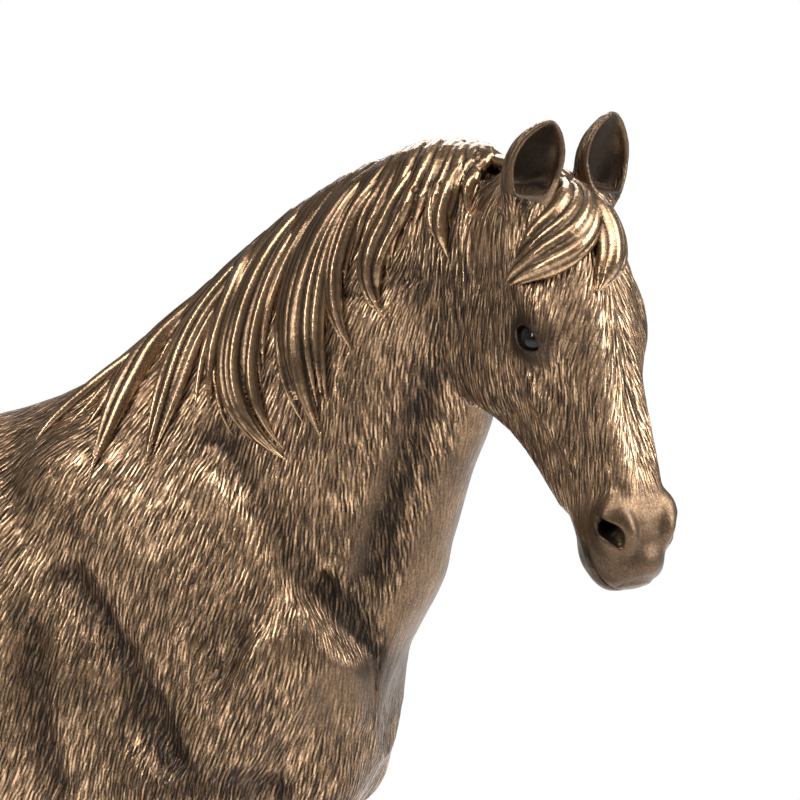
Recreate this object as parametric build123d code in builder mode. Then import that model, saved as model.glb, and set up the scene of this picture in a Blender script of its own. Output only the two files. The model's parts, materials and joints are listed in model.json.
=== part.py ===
"""Standing horse statue in cast bronze on an oval base.

The horse is cast in sections that are joined by sleeves, dowels and studs. +X is the way the horse
faces, +Y is its left side and +Z is up. The origin is the centre of the felt's underside.
All sizes are in millimetres.
"""

import os
from math import cos, radians, sin

from build123d import *

os.makedirs("parts", exist_ok=True)

# ---- driving dimensions -------------------------------------------------------------------------
HEAD_LENGTH = 76.0          # poll to upper lip
WALL = 3.6                  # thickness of the hollow castings
SLEEVE_WALL = 2.0           # thickness of the sleeve inside the barrel joint
SLEEVE_REACH = 9.0          # how far the sleeve goes into each casting

BASE_LENGTH = 236.0
BASE_WIDTH = 92.0
FELT_THICKNESS = 1.0
FELT_INSET = 1.5            # the felt stands back from the base's edge
PLINTH_HEIGHT = 8.0         # lower tier of the base
BASE_STEP = 4.5             # how far the upper tier stands back
GROUND_Z = 17.0             # top of the base, where the hooves stand
BASE_ROOF = 6.0             # thickness of the base over its hollow
BASE_RIM = 6.0              # thickness of the base's rim round its hollow

STUD_RADIUS = 2.0
STUD_TOP = 34.0             # how high a stud reaches inside a leg
STUD_BELOW = 5.5            # how far a stud stands below the base's roof
STUD_BOTTOM = GROUND_Z - BASE_ROOF - STUD_BELOW
WASHER_RADIUS = 4.5
WASHER_THICKNESS = 0.8
NUT_RADIUS = 4.0            # across corners
NUT_HEIGHT = 3.2
DOWEL_RADIUS = 1.5
DOWEL_LENGTH = 16.0
FORE_JOINT_Z = 127.0        # height of the skin where a foreleg's dowel crosses it
HIND_JOINT_Z = 148.0
TAIL_DOWEL = ((-92, 0, 201), (-108, 0, 201))

EYE_RADIUS = 3.9
NOSTRIL_RADIUS = 2.0
ARC = 0.5523                # handle length of a quarter circle drawn as a Bezier

# ---- the torso's sections across X: (x, top z, bottom z, half width) --------------------------------
TORSO = [
    (-104, 190, 172, 6),                    # buttocks
    (-97, 202, 154, 18),
    (-82, 209, 146, 25),                    # dock
    (-60, 214, 140, 28),                    # croup
    (-32, 211, 132, 28),                    # loin and flank
    (0, 207, 125, 29),                      # lowest point of the back
    (20, 211, 122, 28),
    (40, 216, 120, 26),                     # withers and girth
    (60, 215, 121, 25),
    (80, 207, 127, 23),
    (97, 195, 136, 18),                     # point of the shoulder
    (108, 182, 150, 9),                     # breast
]
# ---- the neck's sections: (crest x, crest z, throat x, throat z, half width, sideways shift, turn) ---
NECK = [
    (42, 206, 94, 156, 17, 0, 0),           # inside the torso
    (51, 220, 118, 180, 20, 0, 0),          # neck root
    (66, 232, 123.5, 193, 17, -0.5, 2),
    (84, 248, 127, 206, 14.5, -2, 6),       # middle of the neck
    (101, 260, 130.5, 215.5, 13, -4, 11),
    (117, 266, 132.5, 224, 12, -6.5, 18),
    (130, 266.5, 136, 233, 10, -8.5, 24),   # behind the poll
]
BARREL_JOINT_X = 0.0        # plane where the two torso castings meet

# ---- the head ----------------------------------------------------------------------------------
HEAD_ORIGIN = (138, -9, 259)
HEAD_PITCH = 66.0           # the face's slope below the horizontal
HEAD_TURN = 33.0            # turned to the horse's right
# Sections as shares of the head's length: (down the face, front, back, half width)
HEAD = [
    (-0.06, 0.10, -0.06, 0.09),
    (0.03, 0.17, -0.15, 0.145),
    (0.16, 0.21, -0.235, 0.17),             # forehead
    (0.30, 0.21, -0.265, 0.175),            # eyes and jowl
    (0.42, 0.18, -0.24, 0.16),
    (0.56, 0.155, -0.155, 0.13),            # bars of the jaw
    (0.72, 0.14, -0.11, 0.105),
    (0.86, 0.125, -0.09, 0.10),             # nostrils
    (0.94, 0.095, -0.08, 0.09),             # lips
    (0.995, 0.04, -0.03, 0.05),
]
# Places on the head as shares of its length: (down the face, out of the face, sideways)
EYE_PLACE = (0.372, 0.076, 0.13)
NOSTRIL_PLACE = (0.86, 0.08, 0.09)
EAR_PLACE = (0.04, 0.115, 0.12)
# The ear's sections: (height over its root, half width, half depth), in millimetres
EAR = [(0, 3.8, 3.4), (4, 5.2, 4.4), (8, 5.6, 4.2), (12, 4.3, 3.0), (16, 1.2, 1.0)]
EAR_LEAN_OUT = 1.0          # degrees that an ear leans away from the other
EAR_LEAN_FORWARD = 40.0     # degrees that an ear leans out of the face's plane
EAR_CUP = 0.62              # the ear's hollow as a share of its section
EAR_CUP_RISE = 3.0          # the hollow starts this far over the ear's root
# The forelock's sections, as shares: (down the face, height off the head's axis, half width, half depth)
FORELOCK = [
    (-0.03, 0.115, 0.05, 0.035),
    (0.08, 0.185, 0.085, 0.04),
    (0.20, 0.215, 0.10, 0.035),
    (0.31, 0.215, 0.07, 0.03),
    (0.40, 0.195, 0.02, 0.015),
]

# ---- the legs' sections: (z, x, distance from the middle plane, half length along x, half width) ----
FORELEG = [
    (150, 74, 9, 9, 5),
    (136, 71, 12, 13, 8),
    (122, 69.5, 14, 12, 8.6),               # elbow
    (104, 70, 14.8, 9.5, 7.8),              # forearm
    (90, 71, 15.2, 8, 7),
    (81, 72, 15.4, 8.2, 7.2),               # knee
    (72, 70.5, 15.4, 6.3, 5.4),
    (56, 70, 15.4, 5, 4),                   # cannon
    (46, 70, 15.4, 5.2, 4.3),
    (40, 70, 15.4, 6.6, 5.6),               # fetlock
    (33, 73, 15.4, 5.2, 4.8),               # pastern
    (28, 75.5, 15.5, 7.2, 6.8),             # coronet
    (GROUND_Z, 79, 15.5, 10, 8.6),          # hoof
]
HINDLEG = [
    (164, -68, 8, 9, 4),
    (150, -70, 12, 15, 8),                  # thigh
    (134, -75, 15, 18, 10),                 # stifle
    (118, -82, 15.5, 13, 8.6),              # gaskin
    (104, -91, 15.5, 9, 6.6),
    (94, -96, 15.5, 9.4, 6.6),              # hock
    (84, -96, 15.5, 7.6, 5.6),
    (66, -94.5, 15.5, 5.6, 4.6),            # cannon
    (48, -93, 15.5, 5.4, 4.5),
    (41, -92.5, 15.5, 6.9, 5.8),            # fetlock
    (34, -89.5, 15.5, 5.3, 5),              # pastern
    (28, -87, 15.5, 7.5, 7),                # coronet
    (GROUND_Z, -83.5, 15.5, 10.4, 8.8),     # hoof
]
# name, sections, side (+1 is the left), and how far the hoof is stepped forward
LEGS = [
    ("foreleg_right", FORELEG, -1, 5.0),
    ("foreleg_left", FORELEG, 1, -7.0),
    ("hindleg_right", HINDLEG, -1, -6.0),
    ("hindleg_left", HINDLEG, 1, 10.0),
]

# ---- mane and tail -------------------------------------------------------------------------------
# Each lock is (root station, tip station, tip angle, width). Stations count along the neck's sections;
# the angle goes round a section from the crest, 0, down the right side to the throat, 180.
MANE_LOCKS = [
    (5.6, 5.1, 68, 8),
    (5.0, 3.8, 84, 9),
    (4.4, 3.1, 92, 10),
    (3.8, 2.0, 104, 13),
    (3.3, 1.8, 92, 12),
    (2.6, 1.0, 66, 11),
    (2.0, 0.6, 50, 10),
    (1.5, 0.2, 34, 9),
]
LOCK_ROOT_ANGLE = 8.0
LOCK_LIFT = 0.6             # height of a lock's middle line over the skin
LOCK_THICKNESS = 5.0
# A lock's shape: (share of the way from root to tip, share of its full width)
LOCK_PROFILE = [(0.0, 0.55), (0.2, 0.95), (0.45, 1.0), (0.7, 0.7), (0.9, 0.3), (1.0, 0.1)]
CREST_STATIONS = (1.0, 2.0, 3.0, 4.0, 5.0, 5.9)
CREST_HALF_WIDTH, CREST_HALF_HEIGHT = 5.0, 2.6
# The tail's sections down its length: (x, z, slope below the horizontal, half depth, half width)
TAIL = [
    (-90, 205, 0, 4.5, 4.5),
    (-101, 204, 15, 5.5, 5.5),
    (-111, 196, 55, 7, 7),
    (-116, 182, 80, 8, 8.5),
    (-118, 155, 88, 8.5, 10),
    (-118, 125, 90, 8, 9.5),
    (-117, 95, 92, 6.5, 8),
    (-115, 68, 94, 3, 4),
]


# ---- helpers -------------------------------------------------------------------------------------
def between(sections, place):
    """The section at a place between two listed ones, as the same numbers."""
    first = min(int(place), len(sections) - 2)
    share = place - first
    return [a + (b - a) * share for a, b in zip(sections[first], sections[first + 1])]


def torso_ring(section, inset=0.0):
    x, top, bottom, half_width = section
    plane = Plane((x, 0, (top + bottom) / 2), x_dir=(0, 0, 1), z_dir=(1, 0, 0))
    return plane, (top - bottom) / 2 - inset, half_width - inset


def neck_ring(section, inset=0.0):
    top_x, top_z, low_x, low_z, half_width, shift, turn = section
    height = Vector(top_x - low_x, 0, top_z - low_z)
    up = height.normalized()
    middle = Vector((top_x + low_x) / 2, shift, (top_z + low_z) / 2)
    plane = Plane(
        middle, x_dir=up.rotate(Axis.Z, -turn), z_dir=Vector(up.Z, 0, -up.X).rotate(Axis.Z, -turn)
    )
    return plane, height.length / 2 - inset, half_width - inset


def head_plane(share, front=0.0, left=0.0):
    """Plane across the head; its place is in shares of the head's length, and x points out of the face."""
    frame = Plane(HEAD_ORIGIN, x_dir=HEAD_FRONT, z_dir=HEAD_DOWN)
    place = frame.from_local_coords(Vector(front, -left, share) * HEAD_LENGTH)
    return Plane(place, x_dir=HEAD_FRONT, z_dir=HEAD_DOWN)


def leg_ring(section, side, step, top_z):
    z, x, out, half_length, half_width = section
    down = (top_z - z) / (top_z - GROUND_Z)
    return Plane((x + step * down, side * out, z)), half_length, half_width


def ring_loft(rings, straight=False):
    """Loft through ellipses. Each ring is a plane, its radius along the plane's x and its radius along y."""
    with BuildPart() as made:
        for plane, along, across in rings:
            quarter = [(1, 0), (1, ARC), (ARC, 1), (0, 1)]
            with BuildSketch(plane):
                with BuildLine():
                    for turn in range(4):
                        spun = [Vector(p).rotate(Axis.Z, 90 * turn) for p in quarter]
                        Bezier(*[(v.X * along, v.Y * across) for v in spun])
                make_face()
        loft(ruled=straight)
    return made


def skin_point(place, angle, lift=0.0):
    """Point on the right side of the neck, lifted off the skin, with the outward direction there."""
    plane, half_height, half_width = neck_ring(between(NECK, place))
    right = plane.y_dir * (1 if plane.y_dir.Y < 0 else -1)
    up_share, side_share = cos(radians(angle)), sin(radians(angle))
    point = plane.origin + plane.x_dir * (half_height * up_share) + right * (half_width * side_share)
    normal = (plane.x_dir * (up_share / half_height) + right * (side_share / half_width)).normalized()
    return point + normal * lift, normal


def path_rings(points, normals, half_widths, half_depths):
    """Rings across a path on the skin, each lying flat on it."""
    rings = []
    for i, (point, normal) in enumerate(zip(points, normals)):
        ahead = (points[min(i + 1, len(points) - 1)] - points[max(i - 1, 0)]).normalized()
        across = ahead.cross(normal).normalized()
        rings.append((Plane(point, x_dir=across, z_dir=ahead), half_widths[i], half_depths[i]))
    return rings


def pin(start, end, radius):
    """Round pin from one point to another."""
    start, end = Vector(start), Vector(end)
    with BuildPart() as made:
        with BuildSketch(Plane(start, z_dir=end - start)):
            Circle(radius)
        extrude(amount=(end - start).length)
    return made


def export(part, name):
    part.label = name
    export_step(part, f"parts/{name}.step")


HEAD_DOWN = Vector(cos(radians(HEAD_PITCH)), 0, -sin(radians(HEAD_PITCH))).rotate(Axis.Z, -HEAD_TURN)
HEAD_FRONT = Vector(sin(radians(HEAD_PITCH)), 0, cos(radians(HEAD_PITCH))).rotate(Axis.Z, -HEAD_TURN)

# ---- whole forms that the castings are cut from ---------------------------------------------------
torso_form = ring_loft([torso_ring(s) for s in TORSO])
torso_hollow = ring_loft([torso_ring(s, WALL) for s in TORSO[1:-1]])
sleeve_hollow = ring_loft([torso_ring(s, WALL + SLEEVE_WALL) for s in TORSO[1:-1]])
neck_form = ring_loft([neck_ring(s) for s in NECK])
neck_hollow = ring_loft([neck_ring(s, WALL) for s in NECK[:-2]])
head_form = ring_loft(
    [
        (head_plane(share, (front + back) / 2), (front - back) / 2 * HEAD_LENGTH, half_width * HEAD_LENGTH)
        for share, front, back, half_width in HEAD
    ]
)
leg_forms = {}
stud_forms = {}
dowel_forms = {}
for leg_name, sections, side, step in LEGS:
    rings = [leg_ring(s, side, step, sections[0][0]) for s in sections]
    leg_forms[leg_name] = ring_loft(rings, straight=True)
    hoof = rings[-2][0].origin
    stud_forms[leg_name] = pin((hoof.X, hoof.Y, STUD_BOTTOM), (hoof.X, hoof.Y, STUD_TOP), STUD_RADIUS)
    joint = rings[1][0].origin
    joint_z = FORE_JOINT_Z if sections is FORELEG else HIND_JOINT_Z
    dowel_base = Vector(joint.X, joint.Y, joint_z - DOWEL_LENGTH / 2)
    dowel_forms[leg_name] = pin(dowel_base, dowel_base + Vector(0, 0, DOWEL_LENGTH), DOWEL_RADIUS)
tail_dowel = pin(*TAIL_DOWEL, DOWEL_RADIUS)
head_dowel = pin(neck_ring(NECK[-2])[0].origin, head_plane(0.20, -0.05).origin, DOWEL_RADIUS)

# ---- torso in two castings, with the sleeve inside their joint ------------------------------------
barrel_plane = Plane.YZ.offset(BARREL_JOINT_X)
with BuildPart() as torso_rear:
    add(torso_form.part)
    add(torso_hollow.part, mode=Mode.SUBTRACT)
    split(bisect_by=barrel_plane, keep=Keep.BOTTOM)
    for dowel in (dowel_forms["hindleg_right"], dowel_forms["hindleg_left"], tail_dowel):
        add(dowel.part, mode=Mode.SUBTRACT)
export(torso_rear.part, "torso_rear")

with BuildPart() as torso_front:
    add(torso_form.part)
    add(torso_hollow.part, mode=Mode.SUBTRACT)
    split(bisect_by=barrel_plane, keep=Keep.TOP)
    for dowel in (dowel_forms["foreleg_right"], dowel_forms["foreleg_left"]):
        add(dowel.part, mode=Mode.SUBTRACT)
export(torso_front.part, "torso_front")

with BuildPart() as barrel_sleeve:
    add(torso_hollow.part)
    add(sleeve_hollow.part, mode=Mode.SUBTRACT)
    split(bisect_by=barrel_plane.offset(-SLEEVE_REACH), keep=Keep.TOP)
    split(bisect_by=barrel_plane.offset(SLEEVE_REACH), keep=Keep.BOTTOM)
export(barrel_sleeve.part, "barrel_sleeve")

# ---- neck ----------------------------------------------------------------------------------------
with BuildPart() as neck:
    add(neck_form.part)
    add(neck_hollow.part, mode=Mode.SUBTRACT)
    add(torso_form.part, mode=Mode.SUBTRACT)
    add(head_form.part, mode=Mode.SUBTRACT)
    add(head_dowel.part, mode=Mode.SUBTRACT)
export(neck.part, "neck")

# ---- eyes ------------------------------------------------------------------------------------------
eye_forms = {}
for eye_name, side in (("eye_left", 1), ("eye_right", -1)):
    share, front, out = EYE_PLACE
    with BuildPart(head_plane(share, front, side * out)) as eye:
        Sphere(EYE_RADIUS)
    eye_forms[eye_name] = eye
    export(eye.part, eye_name)

# ---- ears ------------------------------------------------------------------------------------------
ear_forms = {}
for ear_name, side in (("ear_left", 1), ("ear_right", -1)):
    share, front, out = EAR_PLACE
    root = head_plane(share, front, side * out).origin
    sideways = HEAD_DOWN.cross(HEAD_FRONT)
    up = (-HEAD_DOWN).rotate(Axis((0, 0, 0), sideways), EAR_LEAN_FORWARD)
    up = up.rotate(Axis((0, 0, 0), HEAD_FRONT), -side * EAR_LEAN_OUT)
    face = up.cross(sideways).normalized()
    outer = [(Plane(root + up * height, x_dir=face, z_dir=up), depth, width) for height, width, depth in EAR]
    cup = []
    for plane, depth, width in outer[:-1]:
        centre = plane.origin + up * EAR_CUP_RISE + face * depth
        cup.append((Plane(centre, x_dir=face, z_dir=up), depth * EAR_CUP, width * EAR_CUP))
    with BuildPart() as ear:
        add(ring_loft(outer).part)
        add(ring_loft(cup).part, mode=Mode.SUBTRACT)
        add(head_form.part, mode=Mode.SUBTRACT)
    ear_forms[ear_name] = ear
    export(ear.part, ear_name)

# ---- head ------------------------------------------------------------------------------------------
with BuildPart() as head:
    add(head_form.part)
    add(head_dowel.part, mode=Mode.SUBTRACT)
    for eye in eye_forms.values():
        add(eye.part, mode=Mode.SUBTRACT)
    share, front, out = NOSTRIL_PLACE
    for side in (1, -1):
        with Locations(head_plane(share, front, side * out).origin):
            Sphere(NOSTRIL_RADIUS, mode=Mode.SUBTRACT)
export(head.part, "head")

# ---- forelock --------------------------------------------------------------------------------------
forelock_rings = []
for share, front, width, depth in FORELOCK:
    forelock_rings.append((head_plane(share, front), depth * HEAD_LENGTH, width * HEAD_LENGTH))
with BuildPart() as forelock:
    add(ring_loft(forelock_rings).part)
    add(head_form.part, mode=Mode.SUBTRACT)
    for ear in ear_forms.values():
        add(ear.part, mode=Mode.SUBTRACT)
export(forelock.part, "forelock")

# ---- mane: the strip along the crest, then the locks that lie down the right side ---------------------
crest_skin = [skin_point(place, 0.0) for place in CREST_STATIONS]
crest_points = [point for point, _ in crest_skin]
crest_normals = [normal for _, normal in crest_skin]
count = len(CREST_STATIONS)
with BuildPart() as mane_crest:
    add(
        ring_loft(
            path_rings(crest_points, crest_normals, [CREST_HALF_WIDTH] * count, [CREST_HALF_HEIGHT] * count)
        ).part
    )
    for body in (neck_form, torso_form, head_form):
        add(body.part, mode=Mode.SUBTRACT)
    for ear in ear_forms.values():
        add(ear.part, mode=Mode.SUBTRACT)
export(mane_crest.part, "mane_crest")

laid_locks = [mane_crest]
for number, (root_place, tip_place, tip_angle, width) in enumerate(MANE_LOCKS, start=1):
    path = []
    for share, _ in LOCK_PROFILE:
        angle = LOCK_ROOT_ANGLE + (tip_angle - LOCK_ROOT_ANGLE) * share
        place = root_place + (tip_place - root_place) * share**1.4
        path.append(skin_point(place, angle, LOCK_LIFT))
    widths = [width / 2 * full for _, full in LOCK_PROFILE]
    depths = [LOCK_THICKNESS / 2 * min(1.0, full + 0.25) for _, full in LOCK_PROFILE]
    rings = path_rings([point for point, _ in path], [normal for _, normal in path], widths, depths)
    with BuildPart() as lock:
        add(ring_loft(rings).part)
        for body in (neck_form, torso_form, head_form, *laid_locks):
            add(body.part, mode=Mode.SUBTRACT)
    laid_locks = [mane_crest, lock]
    export(lock.part, f"mane_lock_{number}")

# ---- tail ----------------------------------------------------------------------------------------
tail_rings = []
for x, z, slope, depth, width in TAIL:
    along = Vector(-cos(radians(slope)), 0, -sin(radians(slope)))
    across = Vector(-sin(radians(slope)), 0, cos(radians(slope)))
    tail_rings.append((Plane((x, 0, z), x_dir=across, z_dir=along), depth, width))
with BuildPart() as tail:
    add(ring_loft(tail_rings).part)
    add(torso_form.part, mode=Mode.SUBTRACT)
    add(tail_dowel.part, mode=Mode.SUBTRACT)
export(tail.part, "tail")

# ---- legs, each with its hoof; a stud comes up into it from the base ----------------------------------
for name in leg_forms:
    with BuildPart() as leg:
        add(leg_forms[name].part)
        add(torso_form.part, mode=Mode.SUBTRACT)
        add(stud_forms[name].part, mode=Mode.SUBTRACT)
        add(dowel_forms[name].part, mode=Mode.SUBTRACT)
    export(leg.part, name)

# ---- dowels, studs, washers and nuts -------------------------------------------------------------------
export(tail_dowel.part, "tail_dowel")
export(head_dowel.part, "head_dowel")
for name in leg_forms:
    export(dowel_forms[name].part, f"{name}_dowel")
    export(stud_forms[name].part, f"{name}_stud")
    hoof = stud_forms[name].part.center()
    roof = Plane((hoof.X, hoof.Y, GROUND_Z - BASE_ROOF))
    with BuildPart() as washer:
        with BuildSketch(roof):
            Circle(WASHER_RADIUS)
            Circle(STUD_RADIUS, mode=Mode.SUBTRACT)
        extrude(amount=-WASHER_THICKNESS)
    export(washer.part, f"{name}_washer")
    with BuildPart() as nut:
        with BuildSketch(roof.offset(-WASHER_THICKNESS)):
            RegularPolygon(NUT_RADIUS, 6)
            Circle(STUD_RADIUS, mode=Mode.SUBTRACT)
        extrude(amount=-NUT_HEIGHT)
    export(nut.part, f"{name}_nut")

# ---- base: a hollow oval in two tiers, drilled for the studs, and its felt --------------------------------
with BuildPart() as base:
    with BuildSketch(Plane.XY.offset(FELT_THICKNESS)):
        Ellipse(BASE_LENGTH / 2, BASE_WIDTH / 2)
    extrude(amount=PLINTH_HEIGHT)
    with BuildSketch(Plane.XY.offset(FELT_THICKNESS + PLINTH_HEIGHT)):
        Ellipse(BASE_LENGTH / 2 - BASE_STEP, BASE_WIDTH / 2 - BASE_STEP)
    extrude(amount=GROUND_Z - FELT_THICKNESS - PLINTH_HEIGHT)
    with BuildSketch(Plane.XY.offset(FELT_THICKNESS)):
        Ellipse(BASE_LENGTH / 2 - BASE_RIM, BASE_WIDTH / 2 - BASE_RIM)
    extrude(amount=GROUND_Z - BASE_ROOF - FELT_THICKNESS, mode=Mode.SUBTRACT)
    for stud in stud_forms.values():
        add(stud.part, mode=Mode.SUBTRACT)
export(base.part, "base")

with BuildPart() as base_felt:
    with BuildSketch():
        Ellipse(BASE_LENGTH / 2 - FELT_INSET, BASE_WIDTH / 2 - FELT_INSET)
    extrude(amount=FELT_THICKNESS)
export(base_felt.part, "base_felt")
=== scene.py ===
"""Bronze horse statue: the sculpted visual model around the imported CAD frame.

Everything is modelled in millimetres in the row frame (+X the way the horse faces, +Y its left, +Z up)
and turned into metres when a mesh is made.
"""

import json
import time
from math import cos, pi, radians, sin

import bpy
import numpy as np
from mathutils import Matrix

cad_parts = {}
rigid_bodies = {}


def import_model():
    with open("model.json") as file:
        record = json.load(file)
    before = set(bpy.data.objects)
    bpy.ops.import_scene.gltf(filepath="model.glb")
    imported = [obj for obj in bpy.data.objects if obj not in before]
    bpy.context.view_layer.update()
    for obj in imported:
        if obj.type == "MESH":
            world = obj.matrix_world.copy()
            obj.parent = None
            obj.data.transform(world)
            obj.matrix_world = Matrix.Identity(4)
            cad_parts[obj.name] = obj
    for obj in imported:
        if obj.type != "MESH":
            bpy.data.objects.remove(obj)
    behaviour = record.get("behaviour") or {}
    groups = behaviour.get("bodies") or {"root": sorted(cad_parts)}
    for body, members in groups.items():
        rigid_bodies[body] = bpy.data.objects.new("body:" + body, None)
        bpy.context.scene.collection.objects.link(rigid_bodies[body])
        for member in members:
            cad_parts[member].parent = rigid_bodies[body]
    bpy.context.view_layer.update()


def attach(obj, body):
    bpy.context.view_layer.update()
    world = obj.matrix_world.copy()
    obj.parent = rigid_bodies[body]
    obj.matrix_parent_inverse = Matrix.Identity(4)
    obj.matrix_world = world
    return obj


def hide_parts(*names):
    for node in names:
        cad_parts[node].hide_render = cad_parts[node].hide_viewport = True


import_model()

import openvdb as vdb
from mathutils import Vector
from mathutils.bvhtree import BVHTree

START = time.time()


def log(text):
    print(f"[{time.time() - START:6.1f} s] {text}", flush=True)


# ---- the horse's measurements, as in the CAD model ----
# torso: x, top z, bottom z, half width, egg (how much wider the lower half is)
TORSO = [
    (-104, 190, 172, 7, 0.0),
    (-97, 202, 154, 18, 0.0),
    (-82, 209, 146, 25, -0.05),
    (-60, 214, 140, 28, -0.06),
    (-32, 211, 132, 28, 0.03),
    (0, 207, 125, 29, 0.12),
    (20, 211, 122, 28, 0.16),
    (40, 216, 120, 26, 0.20),
    (60, 215, 121, 25, 0.20),
    (80, 207, 127, 23, 0.12),
    (97, 195, 136, 18, 0.05),
    (108, 182, 150, 9, 0.0),
]
# neck: crest x, crest z, throat x, throat z, half width, sideways shift, turn, egg
NECK = [
    (42, 206, 94, 156, 17, 0, 0, 0.18),
    (51, 220, 116.6, 180, 20, 0, 0, 0.16),
    (66, 232, 121.8, 193, 17, -0.5, 2, 0.14),
    (84, 248, 126.2, 206, 14.5, -2, 6, 0.12),
    (101, 260, 130.5, 215.5, 13, -4, 11, 0.10),
    (117, 266, 132.5, 224, 12, -6.5, 18, 0.08),
    (130, 266.5, 136, 233, 10, -8.5, 24, 0.05),
]
GROUND = 17.0
# legs: z, x, distance from the middle plane, half length along x, half width
FORELEG = [
    (150, 74, 9, 9, 5), (136, 71, 12, 13, 8), (122, 69.5, 14, 12, 8.6), (104, 70, 14.8, 9.5, 7.8),
    (90, 71, 15.2, 8, 7), (81, 72, 15.4, 8.2, 7.2), (72, 70.5, 15.4, 6.3, 5.4), (56, 70, 15.4, 5, 4),
    (46, 70, 15.4, 5.2, 4.3), (40, 70, 15.4, 6.6, 5.6), (33, 73, 15.4, 5.2, 4.8), (28, 75.5, 15.5, 7.2, 6.8),
    (GROUND, 79, 15.5, 10, 8.6),
]
HINDLEG = [
    (164, -68, 8, 9, 4), (150, -70, 12, 15, 8), (134, -75, 15, 18, 10), (118, -82, 15.5, 13, 8.6),
    (104, -91, 15.5, 9, 6.6), (94, -96, 15.5, 9.4, 6.6), (84, -96, 15.5, 7.6, 5.6),
    (66, -94.5, 15.5, 5.6, 4.6), (48, -93, 15.5, 5.4, 4.5), (41, -92.5, 15.5, 6.9, 5.8),
    (34, -89.5, 15.5, 5.3, 5), (28, -87, 15.5, 7.5, 7),
    (GROUND, -83.5, 15.5, 10.4, 8.8),
]
LEGS = {
    "foreleg_right": (FORELEG, -1, 5.0),
    "foreleg_left": (FORELEG, 1, -7.0),
    "hindleg_right": (HINDLEG, -1, -6.0),
    "hindleg_left": (HINDLEG, 1, 10.0),
}

HEAD_AT = np.array([138.0, -9.0, 259.0])
HEAD_PITCH, HEAD_TURN = 66.0, 33.0


def spun(x, y, z, turn):
    """A vector turned to the horse's right about Z."""
    a = radians(-turn)
    return np.array([x * cos(a) - y * sin(a), x * sin(a) + y * cos(a), z])


DOWN = spun(cos(radians(HEAD_PITCH)), 0, -sin(radians(HEAD_PITCH)), HEAD_TURN)
FRONT = spun(sin(radians(HEAD_PITCH)), 0, cos(radians(HEAD_PITCH)), HEAD_TURN)
LEFT = np.cross(FRONT, DOWN)
HEAD_AXES = np.array([DOWN, FRONT, LEFT])    # rows: down the face, out of the face, to the horse's left


def to_head(points):
    return (points - HEAD_AT) @ HEAD_AXES.T


def from_head(points):
    return np.asarray(points) @ HEAD_AXES + HEAD_AT


# ---- tools: tubes, level sets and meshes in numpy ----
def smooth_rows(rows, per):
    """Catmull-Rom curve through a table's rows."""
    rows = np.array(rows, float)
    ends = np.vstack([2 * rows[0] - rows[1], rows, 2 * rows[-1] - rows[-2]])
    out = []
    for a, b, c, d in zip(ends, ends[1:], ends[2:], ends[3:]):
        for s in np.arange(per) / per:
            bend = (2 * a - 5 * b + 4 * c - d) + s * (3 * (b - c) + d - a)
            out.append(b + 0.5 * s * ((c - a) + s * bend))
    return np.array(out + [rows[-1]])


def tube(centre, ax, ay, rx, ry, egg=None, sides=64):
    """Closed tube of elliptic rings: points, quads and the end fans' triangles."""
    turn = np.linspace(0, 2 * np.pi, sides, endpoint=False)
    u = np.cos(turn)[None, :, None]
    v = np.sin(turn)[None, :, None]
    if egg is not None:
        v = v * (1 - egg[:, None, None] * u)
    rings = centre[:, None] + ax[:, None] * u * rx[:, None, None] + ay[:, None] * v * ry[:, None, None]
    count = len(centre)
    i = (np.arange(count - 1) * sides)[:, None]
    j = np.arange(sides)[None]
    k = (j + 1) % sides
    quads = np.stack([i + j, i + k, i + sides + k, i + sides + j], -1).reshape(-1, 4)
    first, last = count * sides, count * sides + 1
    base = (count - 1) * sides
    fan_first = np.stack([np.full(sides, first), k[0], j[0]], -1)
    fan_last = np.stack([np.full(sides, last), base + j[0], base + k[0]], -1)
    points = np.vstack([rings.reshape(-1, 3), rings[0].mean(0), rings[-1].mean(0)])
    return points, quads, np.vstack([fan_first, fan_last])


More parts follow.
